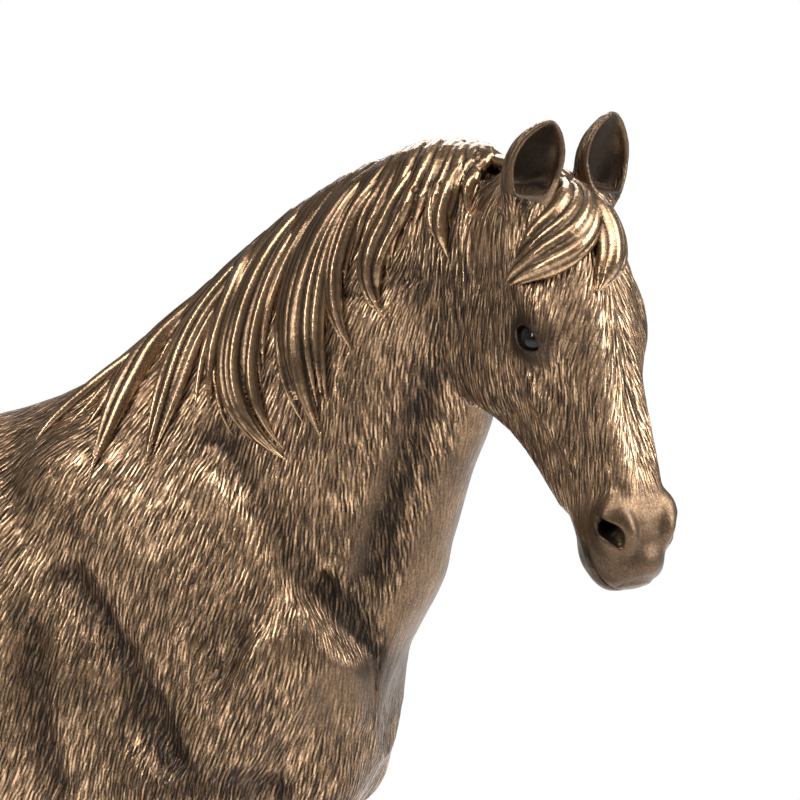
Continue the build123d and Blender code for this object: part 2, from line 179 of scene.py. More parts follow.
class Field:
    """Dense signed distances, in millimetres, on a regular grid that may be turned (axes are its rows)."""

    def __init__(self, low, high, voxel, at=np.zeros(3), axes=np.eye(3)):
        self.low, self.voxel, self.at, self.axes = np.array(low, float), voxel, at, axes
        self.shape = tuple(int(np.ceil((b - a) / voxel)) + 1 for a, b in zip(low, high))
        self.ticks = [np.float32(a) + np.arange(n, dtype=np.float32) * np.float32(voxel)
                      for a, n in zip(low, self.shape)]

    def local(self, points):
        return (points - self.at) @ self.axes.T

    def solid(self, shape, band=14.0):
        """Signed distances to a closed tube, out to band voxels."""
        points, quads, tris = shape
        grid = vdb.FloatGrid.createLevelSetFromPolygons(
            (self.local(points) - self.low).astype(np.float32), triangles=tris.astype(np.uint32),
            quads=quads.astype(np.uint32), halfWidth=band,
            transform=vdb.createLinearTransform(voxelSize=self.voxel))
        out = np.empty(self.shape, np.float32)
        grid.copyToArray(out)
        return out

    def window(self, low, high):
        """Index slices and open coordinate arrays of the part of the grid inside a box."""
        cuts = []
        for axis in range(3):
            a = max(0, int((low[axis] - self.low[axis]) / self.voxel))
            b = min(self.shape[axis], int((high[axis] - self.low[axis]) / self.voxel) + 2)
            cuts.append(slice(a, max(a, b)))
        x, y, z = (t[c] for t, c in zip(self.ticks, cuts))
        return tuple(cuts), x[:, None, None], y[None, :, None], z[None, None, :]

    def sample(self, values, points):
        """Trilinear values at row-frame points."""
        place = (self.local(points) - self.low) / self.voxel
        place = np.clip(place, 0, np.array(self.shape) - 1.001)
        cell = place.astype(np.int32)
        part = (place - cell).astype(np.float32)
        out = np.zeros(len(points), np.float32)
        for dx in (0, 1):
            for dy in (0, 1):
                for dz in (0, 1):
                    share = np.abs(1 - dx - part[:, 0]) * np.abs(1 - dy - part[:, 1])
                    share *= np.abs(1 - dz - part[:, 2])
                    out += share * values[cell[:, 0] + dx, cell[:, 1] + dy, cell[:, 2] + dz]
        return out

    def surface(self, values):
        """Quads on the zero level, in the row frame. Left-handed axes have them flipped."""
        band = float(3 * self.voxel)
        grid = vdb.FloatGrid()
        grid.background = band
        grid.copyFromArray(np.clip(values, -band, band))
        grid.transform = vdb.createLinearTransform(voxelSize=self.voxel)
        points, quads = grid.convertToQuads()
        if np.linalg.det(self.axes) < 0:
            quads = quads[:, ::-1]
        return (points.astype(np.float64) + self.low) @ self.axes + self.at, quads.astype(np.int64)


def smin(a, b, k):
    h = np.maximum(k - np.abs(a - b), 0) / k
    return np.minimum(a, b) - h * h * (k / 4)


def smax(a, b, k):
    h = np.maximum(k - np.abs(a - b), 0) / k
    return np.maximum(a, b) + h * h * (k / 4)


def capsule(x, y, z, a, b, ra, rb):
    """Signed distance to a tapered capsule."""
    a, b = np.asarray(a, float), np.asarray(b, float)
    d = b - a
    h = ((x - a[0]) * d[0] + (y - a[1]) * d[1] + (z - a[2]) * d[2]) / max(d @ d, 1e-9)
    h = np.clip(h, 0, 1)
    gap = np.sqrt((x - a[0] - h * d[0]) ** 2 + (y - a[1] - h * d[1]) ** 2 + (z - a[2] - h * d[2]) ** 2)
    return (gap - (ra + (rb - ra) * h)).astype(np.float32)


def ellipsoid(x, y, z, centre, radii, axes=None):
    """Near-distance to an ellipsoid whose axes are the rows of axes."""
    dx, dy, dz = x - centre[0], y - centre[1], z - centre[2]
    axes = np.eye(3) if axes is None else axes
    u, v, w = (dx * m[0] + dy * m[1] + dz * m[2] for m in axes)
    k0 = np.sqrt((u / radii[0]) ** 2 + (v / radii[1]) ** 2 + (w / radii[2]) ** 2)
    k1 = np.sqrt((u / radii[0] ** 2) ** 2 + (v / radii[1] ** 2) ** 2 + (w / radii[2] ** 2) ** 2)
    return (k0 * (k0 - 1) / np.maximum(k1, 1e-6)).astype(np.float32)


def edges_of(quads, count):
    """Unique edges and, for each quad corner, the edge that leaves it."""
    a, b = quads, np.roll(quads, -1, axis=1)
    key = np.minimum(a, b) * count + np.maximum(a, b)
    unique, back = np.unique(key.ravel(), return_inverse=True)
    return np.stack([unique // count, unique % count], -1), back.reshape(quads.shape)


def subdivided(points, quads):
    edges, of_face = edges_of(quads, len(points))
    n, m = len(points), len(edges)
    mid = points[edges].mean(1)
    centre = points[quads].mean(1)
    e = of_face + n
    c = np.arange(len(quads)) + n + m
    parts = [np.stack([quads[:, i], e[:, i], c, e[:, i - 1]], -1) for i in range(4)]
    return np.vstack([points, mid, centre]), np.vstack(parts)


def mean_around(values, edges, count):
    """Average of each vertex's neighbours."""
    a, b = edges.T
    number = np.bincount(a, minlength=count) + np.bincount(b, minlength=count)
    flat = values.reshape(count, -1)
    out = np.empty_like(flat)
    for i in range(flat.shape[1]):
        out[:, i] = (np.bincount(a, flat[b, i], count) + np.bincount(b, flat[a, i], count)) / number
    return out.reshape(values.shape)


def relaxed(points, edges, rounds, share=0.5):
    """Taubin smoothing: each second round swells the form back."""
    for turn in range(rounds * 2):
        step = share if turn % 2 == 0 else -share * 1.03
        points = points + step * (mean_around(points, edges, len(points)) - points)
    return points


def normals_of(points, quads):
    face = np.cross(points[quads[:, 2]] - points[quads[:, 0]], points[quads[:, 3]] - points[quads[:, 1]])
    out = np.zeros_like(points)
    for i in range(3):
        for corner in range(4):
            out[:, i] += np.bincount(quads[:, corner], face[:, i], len(points))
    return out / np.maximum(np.linalg.norm(out, axis=1), 1e-12)[:, None]


# ---- body: torso, neck and legs ----
def torso_tube():
    x, top, low, half, egg = smooth_rows(TORSO, 8).T
    n = len(x)
    up, side = np.tile([0, 0, 1.0], (n, 1)), np.tile([0, 1.0, 0], (n, 1))
    centre = np.stack([x, np.zeros(n), (top + low) / 2], -1)
    return tube(centre, up, side, (top - low) / 2, half, egg)


def neck_rows(per=8):
    """Centres, the directions to the crest and to the left, half heights and half widths along the neck."""
    rows = smooth_rows(NECK, per)
    cx, cz, tx, tz, half, shift, turn, egg = rows.T
    height = np.stack([cx - tx, 0 * cx, cz - tz], -1)
    size = np.linalg.norm(height, axis=1)
    up = height / size[:, None]
    up = np.array([spun(*u, t) for u, t in zip(up, turn)])
    left = np.array([spun(0, 1, 0, t) for t in turn])
    centre = np.stack([(cx + tx) / 2, shift, (cz + tz) / 2], -1)
    return centre, up, left, size / 2, half, egg


def leg_tube(sections, side, step):
    z, x, out, long, wide = smooth_rows(sections, 6).T
    down = (sections[0][0] - z) / (sections[0][0] - GROUND)
    centre = np.stack([x + step * down, side * out, z], -1)
    n = len(z)
    return tube(centre, np.tile([1.0, 0, 0], (n, 1)), np.tile([0, 1.0, 0], (n, 1)), long, wide)


body = Field((-122, -38, 8), (150, 38, 275), 0.8)
torso = body.solid(torso_tube())
neck = body.solid(tube(*neck_rows()))
legs = {name: body.solid(leg_tube(*spec)) for name, spec in LEGS.items()}
log("body forms")

# Muscle masses: start, end, their radii and how softly they join (given for the left, used on both sides)
MASSES = [
    ((50, 12, 203), (92, 15, 172), 8, 10, 9),      # shoulder blade
    ((93, 15, 168), (72, 17, 146), 9.5, 9, 8),     # upper arm
    ((72, 17, 146), (70, 15, 120), 9, 8, 8),       # elbow to forearm
    ((99, 7, 168), (97, 8, 148), 9, 8.5, 6),       # breast
    ((-66, 12, 200), (-60, 17, 160), 12, 11, 11),  # hip to stifle
    ((-88, 11, 186), (-84, 14, 135), 12, 8.5, 10),  # buttock to gaskin
    ((-62, 17, 160), (-70, 17, 140), 10, 9, 8),    # stifle
]
flesh = smin(torso, neck, 14)
for a, b, ra, rb, k in MASSES:
    for side in (-1, 1):
        a2, b2 = np.array(a) * (1, side, 1), np.array(b) * (1, side, 1)
        margin = max(ra, rb) + k + 4
        cut, x, y, z = body.window(np.minimum(a2, b2) - margin, np.maximum(a2, b2) + margin)
        flesh[cut] = smin(flesh[cut], capsule(x, y, z, a2, b2, ra, rb), k)
whole = flesh
for name, leg in legs.items():
    whole = smin(whole, leg, 7 if name.startswith("fore") else 9)
# flat soles
whole = np.maximum(whole, (GROUND - 0.3) - body.ticks[2][None, None, :])
log("body field")
points, quads = body.surface(whole)
log(f"body surface {len(quads)}")

# ---- head, in its own finer grid: t down the face, f out of the face, s to the horse's left ----
# t, f of the front, f of the back, half width, f where it is widest, roundness of the front and of the back
HEAD = [
    (-6, 3, -4, 3, 0, 2.0, 2.0),
    (-2, 9, -9, 8.5, 1, 2.2, 2.0),
    (4, 13.5, -14, 12, 3, 2.4, 2.0),
    (12, 16, -18.5, 12.8, 4, 2.6, 2.0),
    (21, 16.4, -20.5, 13.0, 4, 2.6, 1.9),
    (29, 15.2, -20.0, 12.6, 2.5, 2.6, 1.8),
    (37, 13.4, -16.5, 11.0, 1, 2.6, 1.8),
    (45, 11.8, -12, 9.6, 1, 2.6, 1.9),
    (53, 10.8, -9.2, 8.2, 1, 2.5, 2.0),
    (60, 10.2, -7.6, 7.4, 1.2, 2.4, 2.1),
    (66, 9.4, -7.0, 7.6, 1.2, 2.3, 2.1),
    (70.5, 7.8, -6.4, 7.0, 0.6, 2.2, 2.1),
    (73.5, 5.4, -4.8, 5.4, 0.4, 2.1, 2.0),
    (75.5, 2.4, -2.4, 3.0, 0, 2.0, 2.0),
]
EYE = np.array([28.3, 5.8, 9.9])
EYE_RADIUS = 3.9

head = Field((-24, -38, -24), (80, 24, 24), 0.3, HEAD_AT, HEAD_AXES)


def slimmed(t, s):
    """The left side is a little slimmer at the brow and fuller at the muzzle."""
    return np.where(s > 0, s * np.interp(t, [0, 10, 44, 56], [1.0, 1.08, 1.07, 0.95]), s).astype(np.float32)


def head_loft():
    """Distance field of the head's plain form, from its table of sections."""
    fine = smooth_rows(HEAD, 8)
    t = head.ticks[0]
    f, s = head.ticks[1][None, :, None], head.ticks[2][None, None, :]
    columns = (np.interp(t, fine[:, 0], fine[:, i]) for i in range(1, 7))
    front, back, half, middle, pf, pb = (c[:, None, None].astype(np.float32) for c in columns)
    s = slimmed(t[:, None, None], s)
    above = f > middle
    reach = np.where(above, front - middle, middle - back)
    power = np.where(above, pf, pb)
    form = ((np.abs(s) / half) ** power + (np.abs(f - middle) / reach) ** power) ** (1 / power) - 1
    ends = np.maximum(fine[0, 0] - t, t - fine[-1, 0])[:, None, None]
    form = np.maximum(form, ends / 4).astype(np.float32)
    slope = np.sqrt(sum(g * g for g in np.gradient(form, head.voxel)))
    return np.clip(form / np.maximum(slope, 0.03), -8, 8).astype(np.float32)


class Carve:
    """Adds and cuts forms on both sides of the head."""

    def __init__(self, values):
        self.values = values

    def apply(self, make, low, high, k, cut=False):
        for side in (-1, 1):
            a = np.array([low[0], low[1], min(low[2] * side, high[2] * side)])
            b = np.array([high[0], high[1], max(low[2] * side, high[2] * side)])
            window, t, f, s = head.window(a, b)
            form = make(t, f, slimmed(t, s) * side)
            part = self.values[window]
            self.values[window] = smax(part, -form, k) if cut else smin(part, form, k)

    def ball(self, centre, radii, k, cut=False, axes=None):
        centre = np.asarray(centre, float)
        radii = np.broadcast_to(np.asarray(radii, float), (3,))
        margin = radii.max() + k + 1

        def make(t, f, s):
            return ellipsoid(t, f, s, centre, radii, axes)
        self.apply(make, centre - margin, centre + margin, k, cut)

    def rod(self, path, radii, k, cut=False):
        path = np.asarray(path, float)
        radii = np.broadcast_to(np.asarray(radii, float), (len(path),))
        if len(path) > 2:
            rows = smooth_rows(np.column_stack([path, radii]), 4)
            path, radii = rows[:, :3], rows[:, 3]
        margin = radii.max() + k + 1

        def make(t, f, s):
            form = None
            for a, b, ra, rb in zip(path, path[1:], radii, radii[1:]):
                piece = capsule(t, f, s, a, b, ra, rb)
                form = piece if form is None else np.minimum(form, piece)
            return form
        self.apply(make, path.min(0) - margin, path.max(0) + margin, k, cut)


def turned(alpha, beta=0.0):
    """Axes for a ball: alpha turns it in the t-f plane, beta tips it sideways."""
    a, b = radians(alpha), radians(beta)
    u = np.array([cos(a), sin(a), 0])
    v = np.array([-sin(a) * cos(b), cos(a) * cos(b), sin(b)])
    return np.array([u, v, np.cross(u, v)])


form = head_loft()
carve = Carve(form)
# cheek, jaw and chin
carve.ball((24, -9.5, 9.4), (13.0, 10.0, 4.6), 3.0)
carve.rod([(6, -8, 8), (20, -15.5, 8.4), (31, -15.5, 6.8), (42, -10.5, 4.6), (56, -7.0, 3.0)],
          [1.6, 2.6, 2.6, 2.0, 1.2], 4.0)
carve.ball((68.0, -4.8, 0), (4.0, 2.6, 3.8), 3.0)
# bones of the face: brow, cheek ridge, bridge of the nose
carve.rod([(16, 6.8, 9.6), (21, 8.4, 11.0), (26, 9.4, 11.2), (32, 9.2, 10.2), (37, 8.2, 8.8)],
          [1.0, 2.1, 2.2, 1.7, 0.6], 3.6)
carve.rod([(31, 1.0, 11.4), (38, 1.8, 11.2), (45, 2.2, 9.4), (51, 2.6, 7.6)], [1.0, 1.8, 1.4, 0.6], 3.0)
carve.rod([(30, 12.0, 3.4), (44, 9.8, 3.6), (58, 8.2, 3.2), (64, 7.4, 3.0)], [1.0, 2.0, 1.8, 0.8], 3.5)
# hollows: over the eye, beside the nose, below the cheek ridge, between the jaw bars, under the chin
carve.ball((12.5, 12.0, 13.5), (5.0, 3.0, 2.4), 4.0, cut=True)
carve.rod([(36, 9.6, 13.0), (46, 8.4, 11.4), (56, 7.2, 10.6), (61, 6.6, 10.8)],
          [0.8, 2.0, 1.8, 0.6], 4.0, cut=True)
carve.rod([(40, -3.6, 13.4), (48, -2.6, 12.0), (56, -1.6, 11.4), (61, -1.2, 11.6)],
          [1.0, 2.4, 2.2, 0.8], 4.0, cut=True)
carve.rod([(28, -23.5, 0), (44, -16.0, 0), (60, -10.0, 0)], [4.0, 3.0, 1.6], 3.0, cut=True)
# the nostrils' wings, then their openings
carve.ball((65.2, 6.0, 5.8), (5.2, 3.2, 3.2), 2.4, axes=turned(-25))
carve.rod([(60.6, 6.0, 5.4), (63.6, 8.4, 5.5), (67.6, 8.6, 4.6), (69.8, 6.6, 4.0)], [0.8, 1.2, 1.3, 0.8], 1.6)
carve.rod([(62.2, 3.4, 9.4), (64.8, 5.6, 8.4), (67.2, 7.0, 7.0), (68.8, 6.4, 5.8)],
          [0.6, 1.3, 1.6, 0.8], 1.0, cut=True)
carve.rod([(65.6, 5.8, 7.0), (63.2, 2.4, 3.8)], [1.4, 0.8], 0.8, cut=True)
# lips and mouth
carve.ball((72.2, 1.6, 0), (3.4, 5.0, 4.8), 2.4)
carve.ball((71.6, -3.6, 0), (3.0, 2.2, 3.8), 2.0)
carve.rod([(75.8, -1.6, 0.0), (74.6, -1.7, 3.2), (71.2, -1.8, 6.0), (65.6, -1.0, 7.6)],
          [0.85, 0.8, 0.8, 0.5], 0.7, cut=True)
# eyelids: a shell round the eyeball, opened by an almond that slants down and forward
carve.ball(EYE + (0.2, -0.1, 0.1), EYE_RADIUS + 0.85, 1.8)
SLANT = radians(38)


def almond(t, f, s):
    """The opening between the lids: where two upright rounds cross, outside the eyeball's middle."""
    along = (t - EYE[0]) * cos(SLANT) + (f - EYE[1]) * sin(SLANT)
    across = -(t - EYE[0]) * sin(SLANT) + (f - EYE[1]) * cos(SLANT)
    upper = np.sqrt(along ** 2 + (across + 1.4) ** 2) - 3.6
    lower = np.sqrt(along ** 2 + (across - 2.4) ** 2) - 4.3
    return np.maximum(np.maximum(upper, lower), EYE[2] + 0.4 - s).astype(np.float32)


def lid_fold(reach, size):
    """The crease of the upper lid: an arc over the eye."""
    path = []
    for turn in np.linspace(-55, 55, 7):
        a = SLANT + radians(90 + turn)
        path.append((EYE[0] + reach * cos(a), EYE[1] + reach * sin(a), EYE[2] + 1.6))
    carve.rod(path, size, 1.0, cut=True)


lid_fold(4.8, [0.15, 0.35, 0.45, 0.5, 0.45, 0.35, 0.15])
carve.apply(almond, EYE - (6, 6, 1), EYE + (6, 6, 8), 0.45, cut=True)


# ears: a leaf-shaped shell, open to its front; height, half width and half depth along it
EAR = [
    (-2, 3.2, 3.2), (0, 4.0, 3.8), (3.6, 5.5, 4.8), (7.4, 6.2, 4.9), (10.8, 5.7, 4.3), (13.4, 4.3, 3.2),
    (15.4, 2.5, 2.0), (16.6, 0.6, 0.6),
]
EAR_SHELL = 1.3
EARS = {     # base, tip, and the way the opening faces, in the head's axes
    "ear_right": ((2.8, 8.8, -8.4), (-6.6, 18.6, -6.4), (0.68, 0.72, -0.14)),
    "ear_left": ((3.4, 9.4, 9.8), (-9.4, 18.0, 11.6), (0.66, 0.74, 0.06)),
}


def ear_form(base, tip, facing):
    """The ear's field and the part of the grid that it fills."""
    base, tip = np.array(base), np.array(tip)
    up = (tip - base) / np.linalg.norm(tip - base)
    out = np.array(facing) - up * (np.array(facing) @ up)
    out /= np.linalg.norm(out)
    side = np.cross(up, out)
    window, t, f, s = head.window(np.minimum(base, tip) - 9, np.maximum(base, tip) + 9)
    h, w, d = ((t - base[0]) * a[0] + (f - base[1]) * a[1] + (s - base[2]) * a[2] for a in (up, side, out))
    fine = smooth_rows(EAR, 8)
    wide = np.interp(h, fine[:, 0], fine[:, 1])
    deep = np.interp(h, fine[:, 0], fine[:, 2])

    def leaf(wide, deep, shift):
        r = np.sqrt((w / wide) ** 2 + ((d - shift) / deep) ** 2)
        return (r - 1) * np.minimum(wide, deep)
    outer = np.maximum(leaf(np.maximum(wide, 0.3), np.maximum(deep, 0.3), 0), np.maximum(-2 - h, h - 16.5))
    inner = leaf(np.maximum(wide - EAR_SHELL, 0.2), np.maximum(deep - EAR_SHELL, 0.2), 0.5)
    inner = np.maximum(inner, 2.2 - h)
    opening = d - np.interp(h, [0, 3, 7, 12, 16], [3.8, 2.2, 1.0, 0.4, 0.3])
    shell = smax(outer, -inner, 1.0)
    return window, smax(shell, opening, 0.9).astype(np.float32)


skull = carve.values.copy()
ear_fields = {}
for name, spec in EARS.items():
    window, ear = ear_form(*spec)
    field = np.full(head.shape, 8, np.float32)
    field[window] = ear
    ear_fields[name] = field
    carve.values[window] = smin(carve.values[window], ear, 2.2)
log("head forms")

# the neck reaches into the head's grid
t, f, s = np.meshgrid(*head.ticks, indexing="ij")
cells = np.stack([t.ravel(), f.ravel(), s.ravel()], -1)
cells = cells @ HEAD_AXES.astype(np.float32) + HEAD_AT.astype(np.float32)
neck_here = body.sample(np.clip(neck, -8, 8), cells).reshape(head.shape)
whole_head = smin(carve.values, neck_here, 4.5)
head_points, head_quads = head.surface(whole_head)
log(f"head surface {len(head_quads)}")

# ---- muscle relief, cut or raised along lines that are given for one side and used on both ----
# Each line: points (x, z) seen from the side, its half width and its height (- cuts in)
RELIEF = [
    ([(80, 212), (88, 202), (97, 188), (105, 175)], 3.6, -1.5),      # front edge of the shoulder blade
    ([(80, 205), (86, 199), (95, 186), (103, 174)], 4.5, 1.0),
    ([(52, 186), (60, 176), (66, 168), (74, 154)], 3.2, -1.5),       # behind the shoulder
    ([(45, 176), (47, 162), (50, 146)], 3.2, -1.3),                  # behind the upper arm
    ([(76, 176), (79, 168), (83, 163), (88, 168), (92, 176)], 2.4, 0.8),
    ([(80, 176), (84, 170), (88, 177)], 2.6, -0.6),
    ([(99, 181), (106, 170), (107, 160)], 2.6, 0.9),                 # point of the shoulder
    ([(102, 186), (110, 172), (111, 160)], 2.4, -1.2),
    ([(66, 160), (78, 150), (92, 146)], 3.0, -0.9),                  # upper arm over the elbow
    ([(122, 226), (118, 214), (113, 200), (110, 188)], 3.2, -1.5),   # jugular groove
    ([(112, 236), (108, 220), (104, 205)], 5.0, 0.7),
    ([(103, 240), (108, 241), (114, 243), (120, 245)], 1.0, -0.45),  # crease behind the jaw
    ([(-14, 150), (-26, 146), (-38, 150), (-46, 160)], 5.0, -1.0),   # flank
    ([(-62, 204), (-58, 186), (-54, 168)], 3.6, -0.9),               # front of the thigh
    ([(-88, 190), (-82, 168), (-80, 146)], 2.6, -1.2),               # between the rear muscles
    ([(-76, 132), (-84, 116), (-90, 104)], 2.2, -0.8),
    ([(66, 128), (68, 112), (68, 96)], 2.0, -0.7),
]


def line_shape(at, path, width):
    """The points (x, z) near a line through path, and 1 on it, falling off over its half width."""
    path = smooth_rows(path, 5) if len(path) > 2 else np.array(path, float)
    low, high = path.min(0) - 3 * width, path.max(0) + 3 * width
    near = np.flatnonzero(((at > low) & (at < high)).all(1))
    best = np.full(len(near), 1e9)
    here = at[near]
    for a, b in zip(path, path[1:]):
        d = b - a
        h = np.clip(((here - a) @ d) / (d @ d), 0, 1)
        best = np.minimum(best, ((here - a - h[:, None] * d) ** 2).sum(1))
    return near, np.exp(-best / width ** 2)


RELIEF_DEPTH = 1.5


def relief(points, normals):
    """Heights over the plain form, in millimetres."""
    out = np.zeros(len(points))
    sideways = np.clip(np.abs(normals[:, 1]) * 1.6, 0, 1)
    at = points[:, [0, 2]]
    for path, width, height in RELIEF:
        near, shape = line_shape(at, path, width)
        out[near] += RELIEF_DEPTH * height * shape * sideways[near]
    return out


# ---- hair: short grooves along the coat ----
# How the coat lies on the body, seen from the side: x, z, degrees from straight down (- is towards
# the tail). A program measured 25 of the first 27 angles on the photograph.
COAT = [
    (44, 211, -49), (44, 189, -30), (44, 166, -19), (44, 150, -10), (60, 204, -18), (60, 181, -8),
    (60, 158, -15), (76, 196, -16), (76, 174, -19), (76, 151, -16), (91, 196, -10), (91, 174, -32),
    (91, 158, -24), (99, 204, -18), (105, 218, -5), (112, 211, 1), (112, 196, 9), (119, 218, 15),
    (119, 204, 25), (127, 218, 19), (119, 234, -23), (127, 234, -13), (119, 249, -41),
    (127, 249, -43), (105, 181, -4), (107, 166, 16), (113, 181, 3), (98, 232, -20), (84, 226, -25),
    (66, 214, -30), (20, 200, -60), (0, 170, -55), (-30, 200, -65), (-30, 160, -60), (-60, 205, -50),
    (-70, 180, -35), (-90, 185, -10), (-80, 150, -20), (70, 130, 0), (70, 90, 0), (72, 50, 0),
    (-85, 120, 15), (-95, 95, 0), (-92, 50, 0), (0, 135, -75), (30, 135, -60), (45, 135, -30),
]
COAT_REACH = 11.0        # how far each of these directions counts, in millimetres
GROOVE_PITCH = 0.8       # from one groove to the next
CELL = 0.2               # size of a cell of the noise blocks


def noise_volume(seed, pitch, spread=0.2, size=144):
    """A repeating block of noise whose ripples are all about one pitch across."""
    rng = np.random.default_rng(seed)
    waves = np.fft.rfftn(rng.standard_normal((size,) * 3).astype(np.float32))
    f = np.fft.fftfreq(size, CELL)
    r = np.fft.rfftfreq(size, CELL)
    k = np.sqrt(f[:, None, None] ** 2 + f[None, :, None] ** 2 + r[None, None, :] ** 2)
    waves *= np.exp(-((k * pitch - 1) / spread) ** 2 / 2)
    out = np.fft.irfftn(waves, (size,) * 3).astype(np.float32)
    return out / out.std()


def look_up(volume, points):
    """Trilinear values of a repeating block."""
    size = volume.shape[0]
    place = points / CELL
    cell = np.floor(place).astype(np.int64)
    part = (place - cell).astype(np.float32)
    cell %= size
    after = (cell + 1) % size
    x, y, z = part.T
    c = [(cell[:, i], after[:, i]) for i in range(3)]
    out = np.zeros(len(points), np.float32)
    for i in (0, 1):
        for j in (0, 1):
            for k in (0, 1):
                share = (x if i else 1 - x) * (y if j else 1 - y) * (z if k else 1 - z)
                out += share * volume[c[0][i], c[1][j], c[2][k]]
    return out


RIPPLES = noise_volume(7, GROOVE_PITCH)


def grooves(points, along, reach=1.5, steps=11):
    """Noise drawn out along the coat: -1 in a groove to 1 on a ridge."""
    out = np.zeros(len(points), np.float32)
    for share in np.linspace(-1, 1, steps):
        out += cos(share * 1.4) * look_up(RIPPLES, points + along * (share * reach))
    return np.clip(out / out.std() * 0.6, -1, 1)


def coat_on_body(points, normals):
    """Directions of the hair, lying in the surface."""
    x, z = points[:, 0], points[:, 2]
    total = np.zeros((len(points), 2))
    for gx, gz, angle in COAT:
        weight = np.exp(-((x - gx) ** 2 + (z - gz) ** 2) / (2 * COAT_REACH ** 2)) + 1e-9
        total += weight[:, None] * (sin(radians(angle)), -cos(radians(angle)))
    along = np.stack([total[:, 0], np.zeros(len(points)), total[:, 1]], -1)
    along /= np.linalg.norm(along, axis=1)[:, None]
    along -= normals * (along * normals).sum(1)[:, None]
    return along / np.maximum(np.linalg.norm(along, axis=1), 1e-6)[:, None]


def coat_on_head(points, normals):
    """Down the face and out to its sides."""
    t, f, s = to_head(points).T
    n = normals @ HEAD_AXES.T
    frontal = np.clip(n[:, 1], 0, 1)
    fan = np.interp(t, [0, 20, 60, 76], [0.9, 0.7, 0.5, 0.25])
    local = np.stack([np.ones(len(t)), -0.5 * (1 - frontal), np.clip(s / 5, -1, 1) * fan * frontal], -1)
    along = local @ HEAD_AXES
    along -= normals * (along * normals).sum(1)[:, None]
    return along / np.maximum(np.linalg.norm(along, axis=1), 1e-6)[:, None]


def coat(points, normals):
    """The head's and the body's directions, blended behind the jaw."""
    share = np.clip((past_neck(points) + 1.0) / 8.0, 0, 1)[:, None]
    mixed = coat_on_body(points, normals) * (1 - share)
    near = share[:, 0] > 0
    mixed[near] += coat_on_head(points[near], normals[near]) * share[near]
    return mixed / np.maximum(np.linalg.norm(mixed, axis=1), 1e-6)[:, None]


# ---- where one casting ends and the next begins ----
def section_plane(station):
    """Centre and forward direction of one of the neck's sections."""
    rows = np.array(NECK, float)
    first = min(int(station), len(rows) - 2)
    cx, cz, tx, tz, _, shift, turn, _ = rows[first] + (rows[first + 1] - rows[first]) * (station - first)
    up = np.array([cx - tx, 0, cz - tz]) / np.hypot(cx - tx, cz - tz)
    return np.array([(cx + tx) / 2, shift, (cz + tz) / 2]), spun(up[2], 0, -up[0], turn)


HEAD_CUT, NECK_CUT = section_plane(4.5), section_plane(1.0)


def past_neck(points):
    """How far points are on the head's side of the cut behind the jaw."""
    return (points - HEAD_CUT[0]) @ HEAD_CUT[1]


class Skin:
    """Polygons as flat loops, with values on their vertices and a label on each face."""

    def __init__(self, points, loops, sizes, label):
        self.points, self.loops, self.sizes, self.label = points, loops, sizes, label
        self.values = {}

    def turns(self):
        """Each corner's next and previous corner in its face."""
        starts = np.concatenate([[0], np.cumsum(self.sizes)[:-1]])
        index = np.arange(len(self.loops))
        after, before = index + 1, index - 1
        ends = starts + self.sizes - 1
        after[ends] = starts
        before[starts] = ends
        return after, before

    def normals(self):
        after, before = self.turns()
        p = self.points
        here = p[self.loops]
        cross = np.cross(p[self.loops[after]] - here, p[self.loops[before]] - here)
        out = np.stack([np.bincount(self.loops, cross[:, i], len(p)) for i in range(3)], -1)
        return out / np.maximum(np.linalg.norm(out, axis=1), 1e-12)[:, None]

    def edges(self):
        after, _ = self.turns()
        a, b = self.loops, self.loops[after]
        key = np.unique(np.minimum(a, b) * len(self.points) + np.maximum(a, b))
        return np.stack([key // len(self.points), key % len(self.points)], -1)


def refined(points, quads, label, chosen):
    """Splits the chosen quads in four; their neighbours take the new points into their outlines."""
    edges, of_face = edges_of(quads, len(points))
    split = np.bincount(of_face[chosen].ravel(), minlength=len(edges)) > 0
    number = np.full(len(edges), -1)
    number[split] = len(points) + np.arange(split.sum())
    parts = quads[chosen]
    centre = len(points) + split.sum() + np.arange(len(parts))
    mids = number[of_face[chosen]]
    small = np.stack([np.stack([parts[:, i], mids[:, i], centre, mids[:, i - 1]], -1) for i in range(4)], 1)
    rest = quads[~chosen]
    ring = np.empty((len(rest), 8), np.int64)
    ring[:, 0::2] = rest
    ring[:, 1::2] = number[of_face[~chosen]]
    held = ring >= 0
    loops = np.concatenate([small.reshape(-1), ring[held]])
    sizes = np.concatenate([np.full(len(parts) * 4, 4), held.sum(1)])
    labels = np.concatenate([np.repeat(label[chosen], 4), label[~chosen]])
    grown = np.vstack([points, points[edges[split]].mean(1), points[parts].mean(1)])
    return Skin(grown, loops, sizes, labels)

# ---- making Blender objects ----
VIEW_AZIMUTH, VIEW_ELEVATION = radians(17), radians(7)
TO_CAMERA = np.array([
    sin(VIEW_AZIMUTH) * cos(VIEW_ELEVATION),
    -cos(VIEW_AZIMUTH) * cos(VIEW_ELEVATION),
    sin(VIEW_ELEVATION),
])
LOOK_AT = np.array([115.0, -12.0, 221.0])
FRAME_WIDTH, CAMERA_DISTANCE = 150.9, 1100.0


def seen(points, normals):
    """Points that face the camera and lie in its frame."""
    right = np.array([cos(VIEW_AZIMUTH), sin(VIEW_AZIMUTH), 0])
    up = np.cross(TO_CAMERA, right)
    away = points - LOOK_AT
    inside = (np.abs(away @ right) < FRAME_WIDTH / 2 + 2) & (np.abs(away @ up) < FRAME_WIDTH / 2 + 2)
    return inside & (normals @ TO_CAMERA > -0.1)


